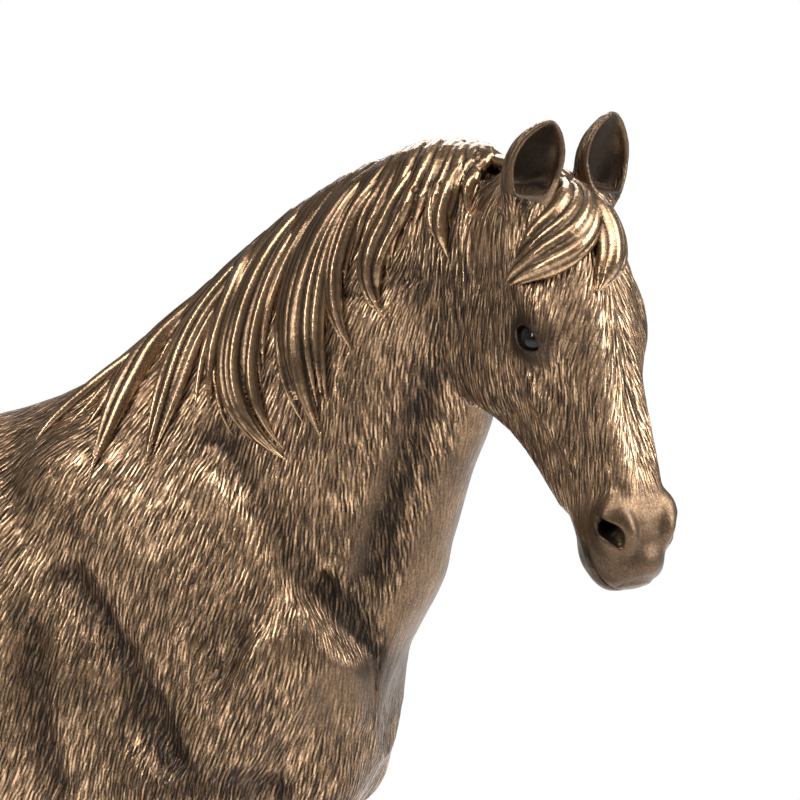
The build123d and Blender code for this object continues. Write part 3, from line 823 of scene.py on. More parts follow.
def new_object(name, points, loops, sizes, normals=None, values=None):
    mesh = bpy.data.meshes.new(name)
    mesh.vertices.add(len(points))
    mesh.vertices.foreach_set("co", (points / 1000).astype(np.float32).ravel())
    mesh.loops.add(len(loops))
    mesh.loops.foreach_set("vertex_index", loops.astype(np.int32))
    mesh.polygons.add(len(sizes))
    starts = np.concatenate([[0], np.cumsum(sizes)[:-1]]).astype(np.int32)
    mesh.polygons.foreach_set("loop_start", starts)
    mesh.polygons.foreach_set("use_smooth", np.ones(len(sizes), bool))
    mesh.update(calc_edges=True)
    for key, value in (values or {}).items():
        flat = value.ndim == 1
        layer = mesh.attributes.new(key, "FLOAT" if flat else "FLOAT_VECTOR", "POINT")
        layer.data.foreach_set("value" if flat else "vector", value.astype(np.float32).ravel())
    if normals is not None:
        mesh.normals_split_custom_set_from_vertices(normals.astype(np.float32))
    item = bpy.data.objects.new(name, mesh)
    bpy.context.scene.collection.objects.link(item)
    return item


def cut_out(skin, label, name, normals):
    """One casting of the skin, closed where it meets its neighbours."""
    keep = skin.label == label
    corner = np.repeat(keep, skin.sizes)
    loops, sizes = skin.loops[corner], skin.sizes[keep]
    part = Skin(skin.points, loops, sizes, None)
    after, _ = part.turns()
    a, b = loops, loops[after]
    count = len(skin.points)
    open_edge = ~np.isin(a * count + b, b * count + a)
    start, end = a[open_edge], b[open_edge]
    # rims that hang together get one closing fan each
    group = {int(v): int(v) for v in np.concatenate([start, end])}

    def root(v):
        while group[v] != v:
            group[v] = group[group[v]]
            v = group[v]
        return v
    for v, w in zip(start.tolist(), end.tolist()):
        group[root(v)] = root(w)
    roots = np.array([root(v) for v in start.tolist()], dtype=np.int64)
    used, back = np.unique(loops, return_inverse=True)
    points, values = skin.points[used], {k: v[used] for k, v in skin.values.items()}
    shading = normals[used]
    place = np.full(count, -1)
    place[used] = np.arange(len(used))
    fans, hubs = [], []
    for r in np.unique(roots):
        mine = roots == r
        rim = np.unique(np.concatenate([start[mine], end[mine]]))
        hub = len(used) + len(hubs)
        hubs.append((skin.points[rim] - normals[rim] * (6.0 if name == "head_skin" else 1.0)).mean(0))
        fans.append(np.stack([place[end[mine]], place[start[mine]], np.full(mine.sum(), hub)], -1))
    if hubs:
        points = np.vstack([points, hubs])
        values = {k: np.concatenate([v, np.zeros((len(hubs), *v.shape[1:]))]) for k, v in values.items()}
        shading = np.vstack([shading, np.tile([0, 0, 1.0], (len(hubs), 1))])
        fan = np.vstack(fans)
        loops = np.concatenate([back, fan.ravel()])
        sizes = np.concatenate([sizes, np.full(len(fan), 3)])
    else:
        loops = back
    return new_object(name, points, loops, sizes, shading, values)


# ---- body skin ----
points, quads = subdivided(points, quads)
edges, _ = edges_of(quads, len(points))
points = relaxed(points, edges, 4)
normals = normals_of(points, quads)
raised = relief(points, normals)
points = points + normals * raised[:, None]
normals = normals_of(points, quads)
log(f"body relief on {len(points)}")

middle = points[quads].mean(1)
label = np.where((middle - NECK_CUT[0]) @ NECK_CUT[1] > 0, 1, np.where(middle[:, 0] > 0, 2, 3))
own = body.sample(flesh, middle)
for number, (name, leg) in enumerate(legs.items(), start=4):
    mine = (body.sample(leg, middle) < own - 0.5) & (middle[:, 2] < 160)
    label[mine] = number
ahead = past_neck(middle)
label[(ahead > 1.2) & (label == 1)] = 0                     # the head's own skin takes over here
near = seen(middle, normals[quads].mean(1)) & (label != 0)
body_skin = refined(points, quads, label, near)
log(f"body refined to {len(body_skin.points)}")


def give_shut_in(label):
    """Gives an ear the patch of the head's skin that it shuts in."""
    local = to_head(middle)
    for number, (base, _, _) in enumerate(EARS.values(), start=2):
        close = np.linalg.norm(local - base, axis=1) < 9
        patch = np.flatnonzero(close & (label == 1))
        reached = np.zeros(len(head_points), bool)
        reached[head_quads[(label == 1) & ~close]] = True
        count = -1
        while reached.sum() != count:
            count = reached.sum()
            reached[head_quads[patch[reached[head_quads[patch]].any(1)]]] = True
        label[patch[~reached[head_quads[patch]].any(1)]] = number


head_edges, _ = edges_of(head_quads, len(head_points))
head_points = relaxed(head_points, head_edges, 3)
head_normals = normals_of(head_points, head_quads)
near_neck = (past_neck(head_points) < 12)[:, None]
head_points = head_points + head_normals * relief(head_points, head_normals)[:, None] * near_neck
middle = head_points[head_quads].mean(1)
label = np.where(past_neck(middle) > 0, 1, 0)
bare = head.sample(skull, middle)
for number, name in enumerate(EARS, start=2):
    label[head.sample(ear_fields[name], middle) < bare - 0.6] = number
give_shut_in(label)
near = seen(middle, head_normals[head_quads].mean(1)) & (label > 0)
head_skin = refined(head_points, head_quads, label, near)
log(f"head refined to {len(head_skin.points)}")


THROAT = np.array([0.93, -0.18, -0.32])


def tooling(points, normals):
    """1 where the coat is tooled, down to 0 where the metal is smooth: muzzle, eyelids, throat, hooves."""
    t, f, s = to_head(points).T
    on_head = past_neck(points) > 0
    muzzle = np.clip((63.0 - t) / 7.0 + np.clip(-f - 2, 0, 4) * 0.2, 0.04, 1)
    eyes = np.sqrt((t - EYE[0]) ** 2 + (f - EYE[1]) ** 2 + (np.abs(s) - EYE[2]) ** 2)
    throat = np.clip((0.90 - normals @ THROAT) / 0.22, 0.2, 1)
    throat = np.maximum(throat, np.clip((168 - points[:, 2]) / 14, 0, 0.75))
    below = on_head | (points[:, 0] < 85)
    tooled = np.where(on_head, muzzle * np.clip((eyes - 4.8) / 2.0, 0.1, 1), np.where(below, 1.0, throat))
    for base, tip, facing in EARS.values():
        up = np.subtract(tip, base) / np.linalg.norm(np.subtract(tip, base))
        height = (to_head(points) - base) @ up
        near = np.linalg.norm(to_head(points) - base - height[:, None] * up, axis=1) < 7.5
        inside = (normals @ HEAD_AXES.T) @ facing
        tooled = np.where(near & (height > 1.5), tooled * np.clip((0.15 - inside) / 0.3, 0.03, 1), tooled)
    return tooled * np.clip((points[:, 2] - 27.5) / 1.5, 0, 1)


def ear_hollow_shade(points, normals):
    """1 in the hollows of the ears, which get painted shade."""
    out = np.zeros(len(points))
    local, face = to_head(points), normals @ HEAD_AXES.T
    for base, tip, facing in EARS.values():
        up = np.subtract(tip, base) / np.linalg.norm(np.subtract(tip, base))
        height = (local - base) @ up
        away = np.linalg.norm(local - base - height[:, None] * up, axis=1)
        wide = np.interp(height, [0, 4, 8, 12, 16], [4.5, 5.0, 4.9, 3.6, 1.2])
        painted_shade = np.clip((wide - away) / 1.0, 0, 1) * np.clip(face @ facing + 0.3, 0, 1)
        out = np.maximum(out, painted_shade * (height > 0.5) * (height < 17))
    return out


def comb(skin, depth):
    """Tools the grooves into a skin and stores its colour level: patina in the grooves and painted shade."""
    normals = skin.normals()
    along = coat(skin.points, normals)
    tooled = tooling(skin.points, normals)
    line = grooves(skin.points, along)
    height = np.where(line < 0.1, line - 0.1, (line - 0.1) * 0.4)
    skin.points = skin.points + normals * (height * depth * tooled)[:, None]
    # across the coat, as long as there are strokes in a metre: the material cuts its finest strokes with it
    pitch = np.where(past_neck(skin.points) > -4, 0.58, 0.70) / 1000
    skin.values["across"] = np.cross(normals, along) / pitch[:, None]
    skin.values["tooled"] = tooled
    # painted shade along the muscle grooves of the relief, with a slight painted highlight on its raised
    # lines
    painted_shade = np.clip(relief(skin.points, normals) * 0.16, -0.30, 0.08)
    t, f, s = to_head(skin.points).T
    on_head = past_neck(skin.points) > 0
    smooth = np.where(on_head, 0.50, 0.56)
    level = (0.71 + 0.32 * line) * tooled + smooth * (1 - tooled) + painted_shade
    # painted shade: darker low on the chest and under the jaw
    chest_shade = np.clip((skin.points[:, 0] - 55) / 40, 0, 1)
    level -= 0.10 * chest_shade * np.clip((205 - skin.points[:, 2]) / 40, 0, 1)
    level -= on_head * 0.10 * np.clip((-f - 2) / 6, 0, 1) * np.clip((52 - t) / 10, 0, 1)
    # painted shade: dark round the eyes for the shadow of the lids and brow, in the nostrils, along the mouth
    # and inside the ears
    eye = np.sqrt((t - EYE[0]) ** 2 + (f - EYE[1]) ** 2 + (np.abs(s) - EYE[2] - 2) ** 2)
    level -= on_head * 0.30 * np.exp(-(eye / 5.4) ** 4)
    nose = np.sqrt((t - 65.6) ** 2 + (f - 5.4) ** 2 + (np.abs(s) - 6.4) ** 2)
    level -= on_head * 0.6 * np.exp(-(nose / 2.4) ** 4)
    mouth = np.exp(-((f + 1.7) / 0.8) ** 2) * np.clip((t - 64.5) / 3, 0, 1)
    level -= on_head * 0.4 * mouth + 0.30 * ear_hollow_shade(skin.points, normals)
    skin.values["groove"] = level
    return skin.normals()


GROOVE_DEPTH = 0.12
ahead = past_neck(body_skin.points)
close = np.flatnonzero((ahead > -9) & (body_skin.points[:, 0] > 95) & (body_skin.points[:, 2] > 195))
toward = body_skin.normals()[close]
gap = head.sample(whole_head, body_skin.points[close])
blend = np.clip((ahead[close] + 9) / 8, 0, 1)
blend = blend * blend * (3 - 2 * blend)
body_skin.points[close] -= toward * (np.clip(gap, -2.5, 2.5) * blend)[:, None]
body_normals = comb(body_skin, GROOVE_DEPTH)
log("body combed")
head_normals = comb(head_skin, GROOVE_DEPTH)
log("head combed")
# the neck's front rim tucks in under the head's skin
tuck = np.clip(past_neck(body_skin.points) - 0.15, 0, 1.2) * (body_skin.points[:, 0] > 95)
body_skin.points -= body_normals * (0.3 * tuck)[:, None]

PARTS = {
    1: "neck", 2: "torso_front", 3: "torso_rear", 4: "foreleg_right", 5: "foreleg_left",
    6: "hindleg_right", 7: "hindleg_left",
}
pieces = {}
for number, name in PARTS.items():
    pieces[name] = cut_out(body_skin, number, name + "_skin", body_normals)
for number, name in enumerate(["head", *EARS], start=1):
    pieces[name] = cut_out(head_skin, number, name + "_skin", head_normals)
for name, piece in pieces.items():
    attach(piece, "root")
    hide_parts(name)
    log(f"{name} {len(piece.data.polygons)} faces")


# ---- eyes ----
def ball(name, centre, radius, rings=48):
    """A closed sphere of rings about an upright axis."""
    centre = np.asarray(centre, float)
    theta = np.linspace(0, np.pi, rings)[1:-1]
    at = centre + np.outer(-np.cos(theta) * radius, [0, 0, 1.0])
    n = len(at)
    r = np.sin(theta) * radius
    points, quads, tris = tube(
        at, np.tile([1.0, 0, 0], (n, 1)), np.tile([0, 1.0, 0], (n, 1)), r, r, sides=rings * 2)
    points[-2], points[-1] = centre - (0, 0, radius), centre + (0, 0, radius)
    loops = np.concatenate([quads.ravel(), tris.ravel()])
    sizes = np.concatenate([np.full(len(quads), 4), np.full(len(tris), 3)])
    return new_object(name, points, loops, sizes, (points - centre) / radius)


for side, name in ((-1, "eye_right"), (1, "eye_left")):
    place = EYE * (1, 1, side) - (0, 0, 0.45 * (side > 0))
    piece = ball(name + "_glass", from_head(place), EYE_RADIUS)
    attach(piece, "root")
    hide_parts(name)
    pieces[name] = piece


# ---- hair modelled as locks: bundles of round strands laid on the skin ----
def surface_tree(points, quads, keep):
    quads = quads[keep]
    used, back = np.unique(quads, return_inverse=True)
    return BVHTree.FromPolygons(
        [Vector(p) for p in points[used].tolist()], back.reshape(quads.shape).tolist())


def lay(tree, guesses):
    """Nearest places on a surface, with the directions out of it."""
    found = [tree.find_nearest(Vector(g)) for g in np.asarray(guesses).tolist()]
    return np.array([f[0] for f in found]), np.array([f[1] for f in found])


def spread(path, count):
    """Evenly spaced points along a path, in all its columns."""
    step = np.linalg.norm(np.diff(path[:, :3], axis=0), axis=1)
    along = np.concatenate([[0], np.cumsum(step)])
    at = np.linspace(0, along[-1], count)
    return np.stack([np.interp(at, along, path[:, i]) for i in range(path.shape[1])], -1)


def directions(path):
    d = np.gradient(path, axis=0)
    return d / np.maximum(np.linalg.norm(d, axis=1), 1e-9)[:, None]


def strand_field(strands, voxel, blend):
    """One closed form round a bundle of strands: each is an array of x, y, z, radius."""
    every = np.vstack(strands)
    low, high = every[:, :3].min(0) - 3.5, every[:, :3].max(0) + 3.5
    grid = Field(low, high, voxel)
    values = np.full(grid.shape, 3, np.float32)
    alone = np.full(grid.shape, 3, np.float32)
    for strand in strands:
        cuts = []
        for a, b in zip(strand, strand[1:]):
            margin = max(a[3], b[3]) + blend + 3 * voxel
            cut, x, y, z = grid.window(np.minimum(a[:3], b[:3]) - margin, np.maximum(a[:3], b[:3]) + margin)
            alone[cut] = np.minimum(alone[cut], capsule(x, y, z, a[:3], b[:3], a[3], b[3]))
            cuts.append(cut)
        box = tuple(slice(min(c[i].start for c in cuts), max(c[i].stop for c in cuts)) for i in range(3))
        values[box] = smin(values[box], alone[box], blend)
        alone[box] = 3
    return grid, values


def strand_line(tree, centre, across, reach, sideways, lift, radius, rng, sway=0.25):
    """One strand: the lock's middle line shifted sideways and laid on the skin."""
    n = len(centre)
    t = np.linspace(0, 1, n)
    wave = sway * np.sin(2 * np.pi * (t * rng.uniform(0.5, 1.1) + rng.uniform()))
    guess = centre + across * ((sideways * reach + wave * np.minimum(reach, 1.2)))[:, None]
    place, out = lay(tree, guess)
    rows = np.column_stack([place + out * lift[:, None], radius])
    for _ in range(2):
        rows[1:-1] = (rows[:-2] + 2 * rows[1:-1] + rows[2:]) / 4
    return rows


def lock(tree, guide, lift, rng, size=0.88, ends=0.12, points=26, crown=0.9):
    """Strands for one lock; guide rows are x, y, z and the half width there."""
    rows = spread(smooth_rows(guide, 8), points)
    rows[:, 3] *= 1.2
    centre, out = lay(tree, rows[:, :3])
    reach = np.maximum(rows[:, 3] - size * 0.6, 0)
    along = directions(centre)
    across = np.cross(out, along)
    across /= np.maximum(np.linalg.norm(across, axis=1), 1e-9)[:, None]
    t = np.linspace(0, 1, points)
    count = max(2, int(round(2 * reach.max() / (size * 1.15))) + 1)
    strands = []
    for sideways in np.linspace(-1, 1, count):
        full = size * rng.uniform(0.7, 1.5)
        radius = full * np.clip(0.55 + 2.2 * t, 0, 1) * np.clip((1.02 - t) / 0.30, 0.16, 1) ** 0.8
        height = lift * np.clip(0.25 + 2.5 * t, 0, 1) * np.clip((1 - t) / 0.35, 0.15, 1)
        height = height + crown * (1 - sideways ** 2) * np.sin(np.pi * np.clip(t, 0, 1)) ** 0.7
        height = height + rng.uniform(-0.4, 0.45)
        line = strand_line(tree, centre, across, reach, sideways, height, radius, rng)
        last = points - int(rng.uniform(0, ends * (1 + 2 * abs(sideways))) * points)
        line[:, 3] *= np.clip((last - np.arange(points)) / 6 + 0.12, 0.1, 1)
        strands.append(line[:max(last, 8)])
    return strands


def hair_piece(name, node, strands, voxel=0.32, blend=0.12, rounds=1):
    """Builds a piece from strands, with how far each point stands out from its surroundings."""
    grid, values = strand_field(strands, voxel, blend)
    points, quads = grid.surface(values)
    edges, _ = edges_of(quads, len(points))
    points = relaxed(points, edges, rounds)
    points, quads = subdivided(points, quads)
    edges, _ = edges_of(quads, len(points))
    points = relaxed(points, edges, 2)
    normals = normals_of(points, quads)
    blurred = points
    for _ in range(10):
        blurred = blurred + 0.6 * (mean_around(blurred, edges, len(points)) - blurred)
    stand = ((points - blurred) * normals).sum(1)
    stand = np.clip(0.58 + stand * 8.0, 0, 1)
    piece = new_object(name, points, quads.ravel(), np.full(len(quads), 4), normals, {"groove": stand})
    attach(piece, "root")
    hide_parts(node)
    pieces[node] = piece
    log(f"{node} {len(quads)} faces")


def off_ears(places):
    return np.minimum(*(head.sample(field, places) for field in ear_fields.values())) > 1.0


def hair_ground():
    """The skin that the mane lies on: the neck, then the head without its ears."""
    ahead = past_neck(points)
    neck_skin = (points[:, 2] > 185) & (points[:, 0] > 20) & ((ahead < 0.4) | (points[:, 0] < 95))
    head_skin = (past_neck(head_points) > -0.4) & off_ears(head_points)
    both = np.vstack([points, head_points])
    return surface_tree(both, np.vstack([quads, head_quads + len(points)]),
                        np.concatenate([neck_skin[quads].all(1), head_skin[head_quads].all(1)]))


body_tree = hair_ground()

# Locks of the mane: points along each as x, z and half width; they hang on the horse's right side
# These points came out of a program: places chosen on the photograph, which it turned into
# millimetres. The first lock and all half widths were set afterwards.
LOCKS = {
    "mane_lock_1": [((127, 266.5, 1.2), (126, 264, 1.7), (125, 260.5, 2.1), (124.4, 256.5, 2.0),
                     (125, 252.5, 1.4), (126.8, 248, 0.3))],
    "mane_lock_2": [((119.5, 266, 1.4), (117, 261, 1.8), (114, 255, 2.1), (111.3, 249.5, 2.1),
                     (110.3, 244, 1.8), (111.7, 239.8, 1.1), (114.6, 236.3, 0.3))],
    "mane_lock_3": [((116.5, 266, 1.4), (110.9, 262, 2.0), (106.3, 255.7, 2.2), (104.2, 249, 2.2),
                     (103.5, 242.7, 2.1), (104.7, 236.2, 1.6), (107, 231.7, 1.0), (109.4, 227.5, 0.3))],
    "mane_lock_4": [((113, 266, 1.6), (105.6, 260, 2.4), (100.6, 251.7, 3.2), (97.4, 242.3, 3.9),
                     (96.5, 233, 4.2), (98, 223.7, 3.8), (100.6, 216.3, 2.4), (103.8, 209.8, 0.4))],
    "mane_lock_5": [((98.4, 259, 1.6), (91.1, 251, 2.4), (86.5, 242.6, 2.9), (83.6, 234, 3.3),
                     (82.8, 225.7, 3.5), (85, 218.4, 3.1), (90.5, 212.4, 2.0), (98.2, 207.9, 0.4))],
    "mane_lock_6": [((89.4, 253, 1.2), (81.8, 243.9, 1.8), (75.6, 236.2, 2.2), (71.6, 228.7, 2.3),
                     (69.4, 220.9, 2.2), (67.4, 213, 1.6), (66.4, 207.5, 0.9), (66.3, 202, 0.3)),
                    ((86, 250, 1.0), (81.6, 240.4, 1.5), (79.5, 232.9, 1.6), (78.4, 225.5, 1.2),
                     (78, 216.5, 0.3))],
    "mane_lock_7": [((77.5, 243, 1.0), (70, 235.2, 1.6), (63.2, 228.3, 2.0), (59.9, 221.6, 2.1),
                     (57.4, 214.3, 1.7), (55.8, 207.2, 0.9), (55, 200.4, 0.3))],
    "mane_lock_8": [((66, 232.5, 0.8), (58.6, 225.5, 1.3), (52, 219.8, 1.4), (46.5, 215.3, 1.0),
                     (41, 209.3, 0.3))],
}
LIFT = {"mane_lock_1": 1.0, "mane_lock_2": 1.2, "mane_lock_3": 1.5, "mane_lock_4": 1.9, "mane_lock_5": 1.5,
        "mane_lock_6": 1.3, "mane_lock_7": 1.0, "mane_lock_8": 0.7}


def on_right(rows):
    """Guide rows with a y taken from the skin on the horse's right side; the first lies over the crest."""
    out = []
    for i, (x, z, wide) in enumerate(rows):
        hit = body_tree.ray_cast(Vector((x, -60, z)), Vector((0, 1, 0)))
        y = hit[0].y if hit[0] is not None else -3.0
        if i == 0:
            y = crest_y(x) + 0.5
        out.append((x, y, z, wide))
    return out


crest_centre, crest_up, _, crest_half, _, _ = neck_rows(12)
crest_line = crest_centre + crest_up * crest_half[:, None]


def crest_y(x):
    return float(np.interp(x, crest_line[:, 0], crest_line[:, 1]))


rng = np.random.default_rng(20)
guides = {name: [on_right(rows) for rows in paths] for name, paths in LOCKS.items()}
for name, paths in guides.items():
    strands = []
    for guide in paths:
        strands += lock(body_tree, guide, LIFT[name], rng)
    hair_piece(name + "_hair", name, strands)

# The rest of the mane: strands that lie between and under the locks, rooted over the crest
order = [guides[f"mane_lock_{i}"][0] for i in range(8, 0, -1)]
even = [spread(smooth_rows(g, 6), 24) for g in order]
strands = []
for place in np.linspace(-0.35, 7.5, 86):
    first = int(np.clip(np.floor(place), 0, len(even) - 2))
    share = place - first
    rows = even[first] * (1 - share) + even[first + 1] * share
    length = rng.uniform(0.5, 0.85)
    count = int(24 * length)
    rows = rows[:count, :3]
    root = rows[0] + np.array([[4.6, 5.6, -7.4], [3.2, 5.2, -3.6], [1.5, 2.8, -0.8]]) * rng.uniform(0.3, 1.35)
    rows = np.vstack([root, rows])
    rows[:, 0] += rng.normal(0, 0.5)
    place_on, out = lay(body_tree, rows)
    t = np.linspace(0, 1, len(rows))
    radius = rng.uniform(0.75, 1.35) * np.clip((1.03 - t) / 0.35, 0.15, 1) * np.clip(0.3 + 5 * t, 0, 1)
    high = np.interp(place, [0, 4, 5.5, 6.4, 7, 7.6], [0.9, 1.3, 2.2, 2.7, 2.4, 1.8])
    lift = np.interp(t, [0, 0.10, 0.2, 0.4, 1], [-0.2, 0.4 * high, high, high * 0.8, 0.0])
    lift = lift + rng.uniform(-0.2, 0.3) * t
    strands.append(np.column_stack([place_on + out * lift[:, None], radius]))
hair_piece("mane_crest_hair", "mane_crest", strands)

# forelock: rows down the face, out of the face (a guess that is laid on the skin), to the left, half width
# These points too came out of a program, with small changes.
FORELOCK = [
    [(-1.0, 14.0, 2.0, 1.6), (3.0, 15.0, 1.6, 2.6), (7.4, 15.6, -1.2, 3.6), (11.4, 15.4, -5.4, 4.2),
     (13.8, 13.8, -9.0, 4.0), (15.4, 10.4, -11.8, 3.2), (16.6, 6.6, -13.8, 2.0), (17.4, 3.4, -14.6, 0.5)],
    [(2.0, 14.5, 3.0, 0.9), (8.4, 15.4, 2.9, 1.7), (12.8, 16.2, 3.0, 2.0), (17.4, 16.6, 1.6, 2.0),
     (21.4, 16.6, -1.0, 1.5), (24.6, 16.2, -4.0, 0.3)],
]
bald = (to_head(head_points)[:, 0] < 34) & off_ears(head_points)
head_tree = surface_tree(head_points, head_quads, bald[head_quads].all(1))
strands = []
# short hair that runs over the poll between the ears into the forelock
for sideways in np.linspace(-3.6, 4.4, 8):
    rows = np.array([(-20, -4, 0), (-15, 4, 0), (-10, 10, 0), (-5, 13.5, 0), (0, 14.5, 0), (8, 15.6, 0)])
    rows = rows + (0, 0, sideways)
    rows[:, 2] *= 1 + 0.25 * np.linspace(1, -1, 6)
    rows = spread(smooth_rows(rows, 5), 26)[:26 - int(rng.integers(0, 6))]
    place_on, out = lay(body_tree, from_head(rows))
    t = np.linspace(0, 1, len(rows))
    radius = rng.uniform(0.8, 1.3) * np.clip((1.02 - t) / 0.3, 0.15, 1) * np.clip(0.2 + 3 * t, 0, 1)
    strands.append(np.column_stack([place_on + out * (0.5 * np.sin(np.pi * t))[:, None], radius]))
for rows, lift in zip(FORELOCK, (1.5, 1.6)):
    rows = np.array(rows)
    guide = np.column_stack([from_head(rows[:, :3]), rows[:, 3]])
    strands += lock(head_tree, guide, lift, rng, size=1.15, crown=1.1, ends=0.08)
hair_piece("forelock_hair", "forelock", strands, voxel=0.3)

# ---- tail ----
# x, z, slope, half depth, half width
TAIL = [(-90, 205, 0, 4.5, 4.5), (-101, 204, 15, 5.5, 5.5), (-111, 196, 55, 7, 7),
        (-116, 182, 80, 8, 8.5), (-118, 155, 88, 8.5, 10), (-118, 125, 90, 8, 9.5),
        (-117, 95, 92, 6.5, 8), (-115, 68, 94, 3, 4)]
rows = smooth_rows(TAIL, 6)
n = len(rows)
t = np.linspace(0, 1, n)
slope = np.radians(rows[:, 2])
depth_axis = np.stack([np.sin(slope), 0 * slope, np.cos(slope)], -1)
core = np.stack([rows[:, 0], 0 * t, rows[:, 1]], -1)
strands = [np.column_stack([core, (rows[:, 3] - 2.6).clip(0.5)])]
for turn in np.linspace(0, 2 * np.pi, 30, endpoint=False):
    full = rng.uniform(1.2, 1.9)
    around = turn + 0.35 * np.sin(2 * np.pi * (t * rng.uniform(0.6, 1.1) + rng.uniform())) * t
    out = np.clip(1 - (full + 0.3) / rows[:, 3], 0.1, 1)
    line = core + depth_axis * (np.cos(around) * rows[:, 3] * out)[:, None]
    line[:, 1] += np.sin(around) * (rows[:, 4] - full - 0.3).clip(0)
    last = n - int(rng.uniform(0, 0.16) * n)
    radius = full * np.clip((last - np.arange(n)) / 12, 0.15, 1) * np.clip(0.6 + 2 * t, 0, 1)
    strands.append(np.column_stack([line, radius])[:last])
hair_piece("tail_hair", "tail", strands, voxel=0.5, blend=0.4)

# ---- base: an oval in two tiers with uneven ground ----
BASE_LONG, BASE_WIDE, STEP = 118.0, 46.0, 4.5
FELT_TOP, PLINTH_TOP, EDGE = 1.0, 9.0, 0.9
HOOVES = [(84, -15.5), (72, 15.5), (-89.5, -15.5), (-73.5, 15.5)]


def oval_base():
    """Rings from the underside over the two tiers to the middle of the ground; the underside is closed."""
    profile = [(EDGE * 0.3, FELT_TOP), (0, FELT_TOP + 0.4), (0, FELT_TOP + 1.2)]
    profile += [(0, z) for z in np.linspace(FELT_TOP + 2, PLINTH_TOP - EDGE - 0.3, 6)]
    profile += [(EDGE * (1 - cos(a)), PLINTH_TOP - EDGE * (1 - sin(a))) for a in np.linspace(0, pi / 2, 7)]
    profile += [(EDGE + 1.0, PLINTH_TOP), (STEP - 1.2, PLINTH_TOP)]
    profile += [(STEP - 0.8 * cos(a), PLINTH_TOP + 0.8 - 0.8 * sin(a)) for a in np.linspace(pi / 2, 0, 5)]
    profile += [(STEP, z) for z in np.linspace(PLINTH_TOP + 1.4, GROUND - 1.6, 5)]
    profile += [(STEP + 1.4 * (1 - cos(a)), GROUND - 0.1 - 1.4 * (1 - sin(a)))
                for a in np.linspace(0.1, pi / 2, 8)]
    inset, z = np.array(profile).T
    sides = 1080
    shares = np.linspace(1, 0, 96)[1:-1]
    long = np.concatenate([BASE_LONG - inset, (BASE_LONG - inset[-1]) * shares])
    wide = np.concatenate([BASE_WIDE - inset, (BASE_WIDE - inset[-1]) * shares])
    z = np.concatenate([z, np.full(len(shares), GROUND - 0.1)])
    n = len(z)
    centre = np.stack([np.zeros(n), np.zeros(n), z], -1)
    points, quads, tris = tube(
        centre, np.tile([1.0, 0, 0], (n, 1)), np.tile([0, 1.0, 0], (n, 1)), long, wide, sides=sides)
    top = np.flatnonzero(points[:, 2] > GROUND - 0.3)
    at = points[top]
    ground = look_up(noise_volume(3, 9.0, 0.5, 64), at * (1, 1, 0) * (CELL / 0.9))
    rough = look_up(noise_volume(4, 2.2, 0.5, 96), at * (1, 1, 0))
    edge = np.clip((1 - np.hypot(at[:, 0] / (BASE_LONG - 6), at[:, 1] / (BASE_WIDE - 6))) * 9, 0, 1)
    near = np.min([np.hypot(at[:, 0] - x, (at[:, 1] - y)) for x, y in HOOVES], axis=0)
    trodden = np.clip((near - 9) / 8, 0, 1)
    height = np.clip(0.16 * ground + 0.10 * rough, -0.5, 0.05) * edge * trodden
    points[top, 2] += height
    value = np.full(len(points), 0.72)
    value[top] = 0.66 + 0.5 * np.clip(height + 0.08, -0.25, 0.1)
    loops = np.concatenate([quads.ravel(), tris.ravel()])
    sizes = np.concatenate([np.full(len(quads), 4), np.full(len(tris), 3)])
    piece = new_object("base_ground", points, loops, sizes, None, {"groove": value})
    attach(piece, "root")
    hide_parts("base")
    pieces["base"] = piece


oval_base()
log("base")


# ---- materials ----
FULL_TURN = 6.2832       # in radians
class Nodes:
    """Short ways to put a material's nodes together."""

    def __init__(self, name):
        self.material = bpy.data.materials.new(name)
        self.material.use_nodes = True
        self.tree = self.material.node_tree
        self.shader = self.tree.nodes["Principled BSDF"]
        self.where = self.add("ShaderNodeTexCoord").outputs["Object"]

    def add(self, kind, **settings):
        node = self.tree.nodes.new(kind)
        for key, value in settings.items():
            setattr(node, key, value)
        return node

    def link(self, source, target):
        self.tree.links.new(source, target)

    def noise(self, scale, detail=3.0, rough=0.55, warp=0.0, stretch=None):
        node = self.add("ShaderNodeTexNoise")
        node.inputs["Scale"].default_value = scale
        node.inputs["Detail"].default_value = detail
        node.inputs["Roughness"].default_value = rough
        node.inputs["Distortion"].default_value = warp
        where = self.where
        if stretch:
            mapping = self.add("ShaderNodeMapping")
            mapping.inputs["Scale"].default_value = stretch
            self.link(where, mapping.inputs["Vector"])
            where = mapping.outputs["Vector"]
        self.link(where, node.inputs["Vector"])
        return node.outputs["Fac"]

    def attribute(self, name):
        return self.add("ShaderNodeAttribute", attribute_name=name).outputs["Fac"]

    def span(self, value, low, high, to_low=0.0, to_high=1.0):
        node = self.add("ShaderNodeMapRange", clamp=True)
        self.link(value, node.inputs["Value"])
        for key, number in zip(("From Min", "From Max", "To Min", "To Max"), (low, high, to_low, to_high)):
            node.inputs[key].default_value = number
        return node.outputs["Result"]

    def math(self, kind, a, b):
        node = self.add("ShaderNodeMath", operation=kind)
        for socket, value in zip(node.inputs, (a, b)):
            if isinstance(value, (int, float)):
                socket.default_value = value
            else:
                self.link(value, socket)
        return node.outputs[0]

    def ramp(self, value, stops):
        node = self.add("ShaderNodeValToRGB")
        bar = node.color_ramp.elements
        while len(bar) < len(stops):
            bar.new(0.5)
        for element, (place, colour) in zip(bar, stops):
            element.position = place
            element.color = (*colour, 1)
        self.link(value, node.inputs["Fac"])
        return node.outputs["Color"]

    def bump(self, height, distance, strength=1.0):
        node = self.add("ShaderNodeBump")
        node.inputs["Distance"].default_value = distance
        node.inputs["Strength"].default_value = strength
        self.link(height, node.inputs["Height"])
        self.link(node.outputs["Normal"], self.shader.inputs["Normal"])

    def colour(self, source):
        self.link(source, self.shader.inputs["Base Color"])

    def roughness(self, source):
        self.link(source, self.shader.inputs["Roughness"])

    def fixed(self, **values):
        for key, value in values.items():
            self.shader.inputs[key.replace("_", " ")].default_value = value


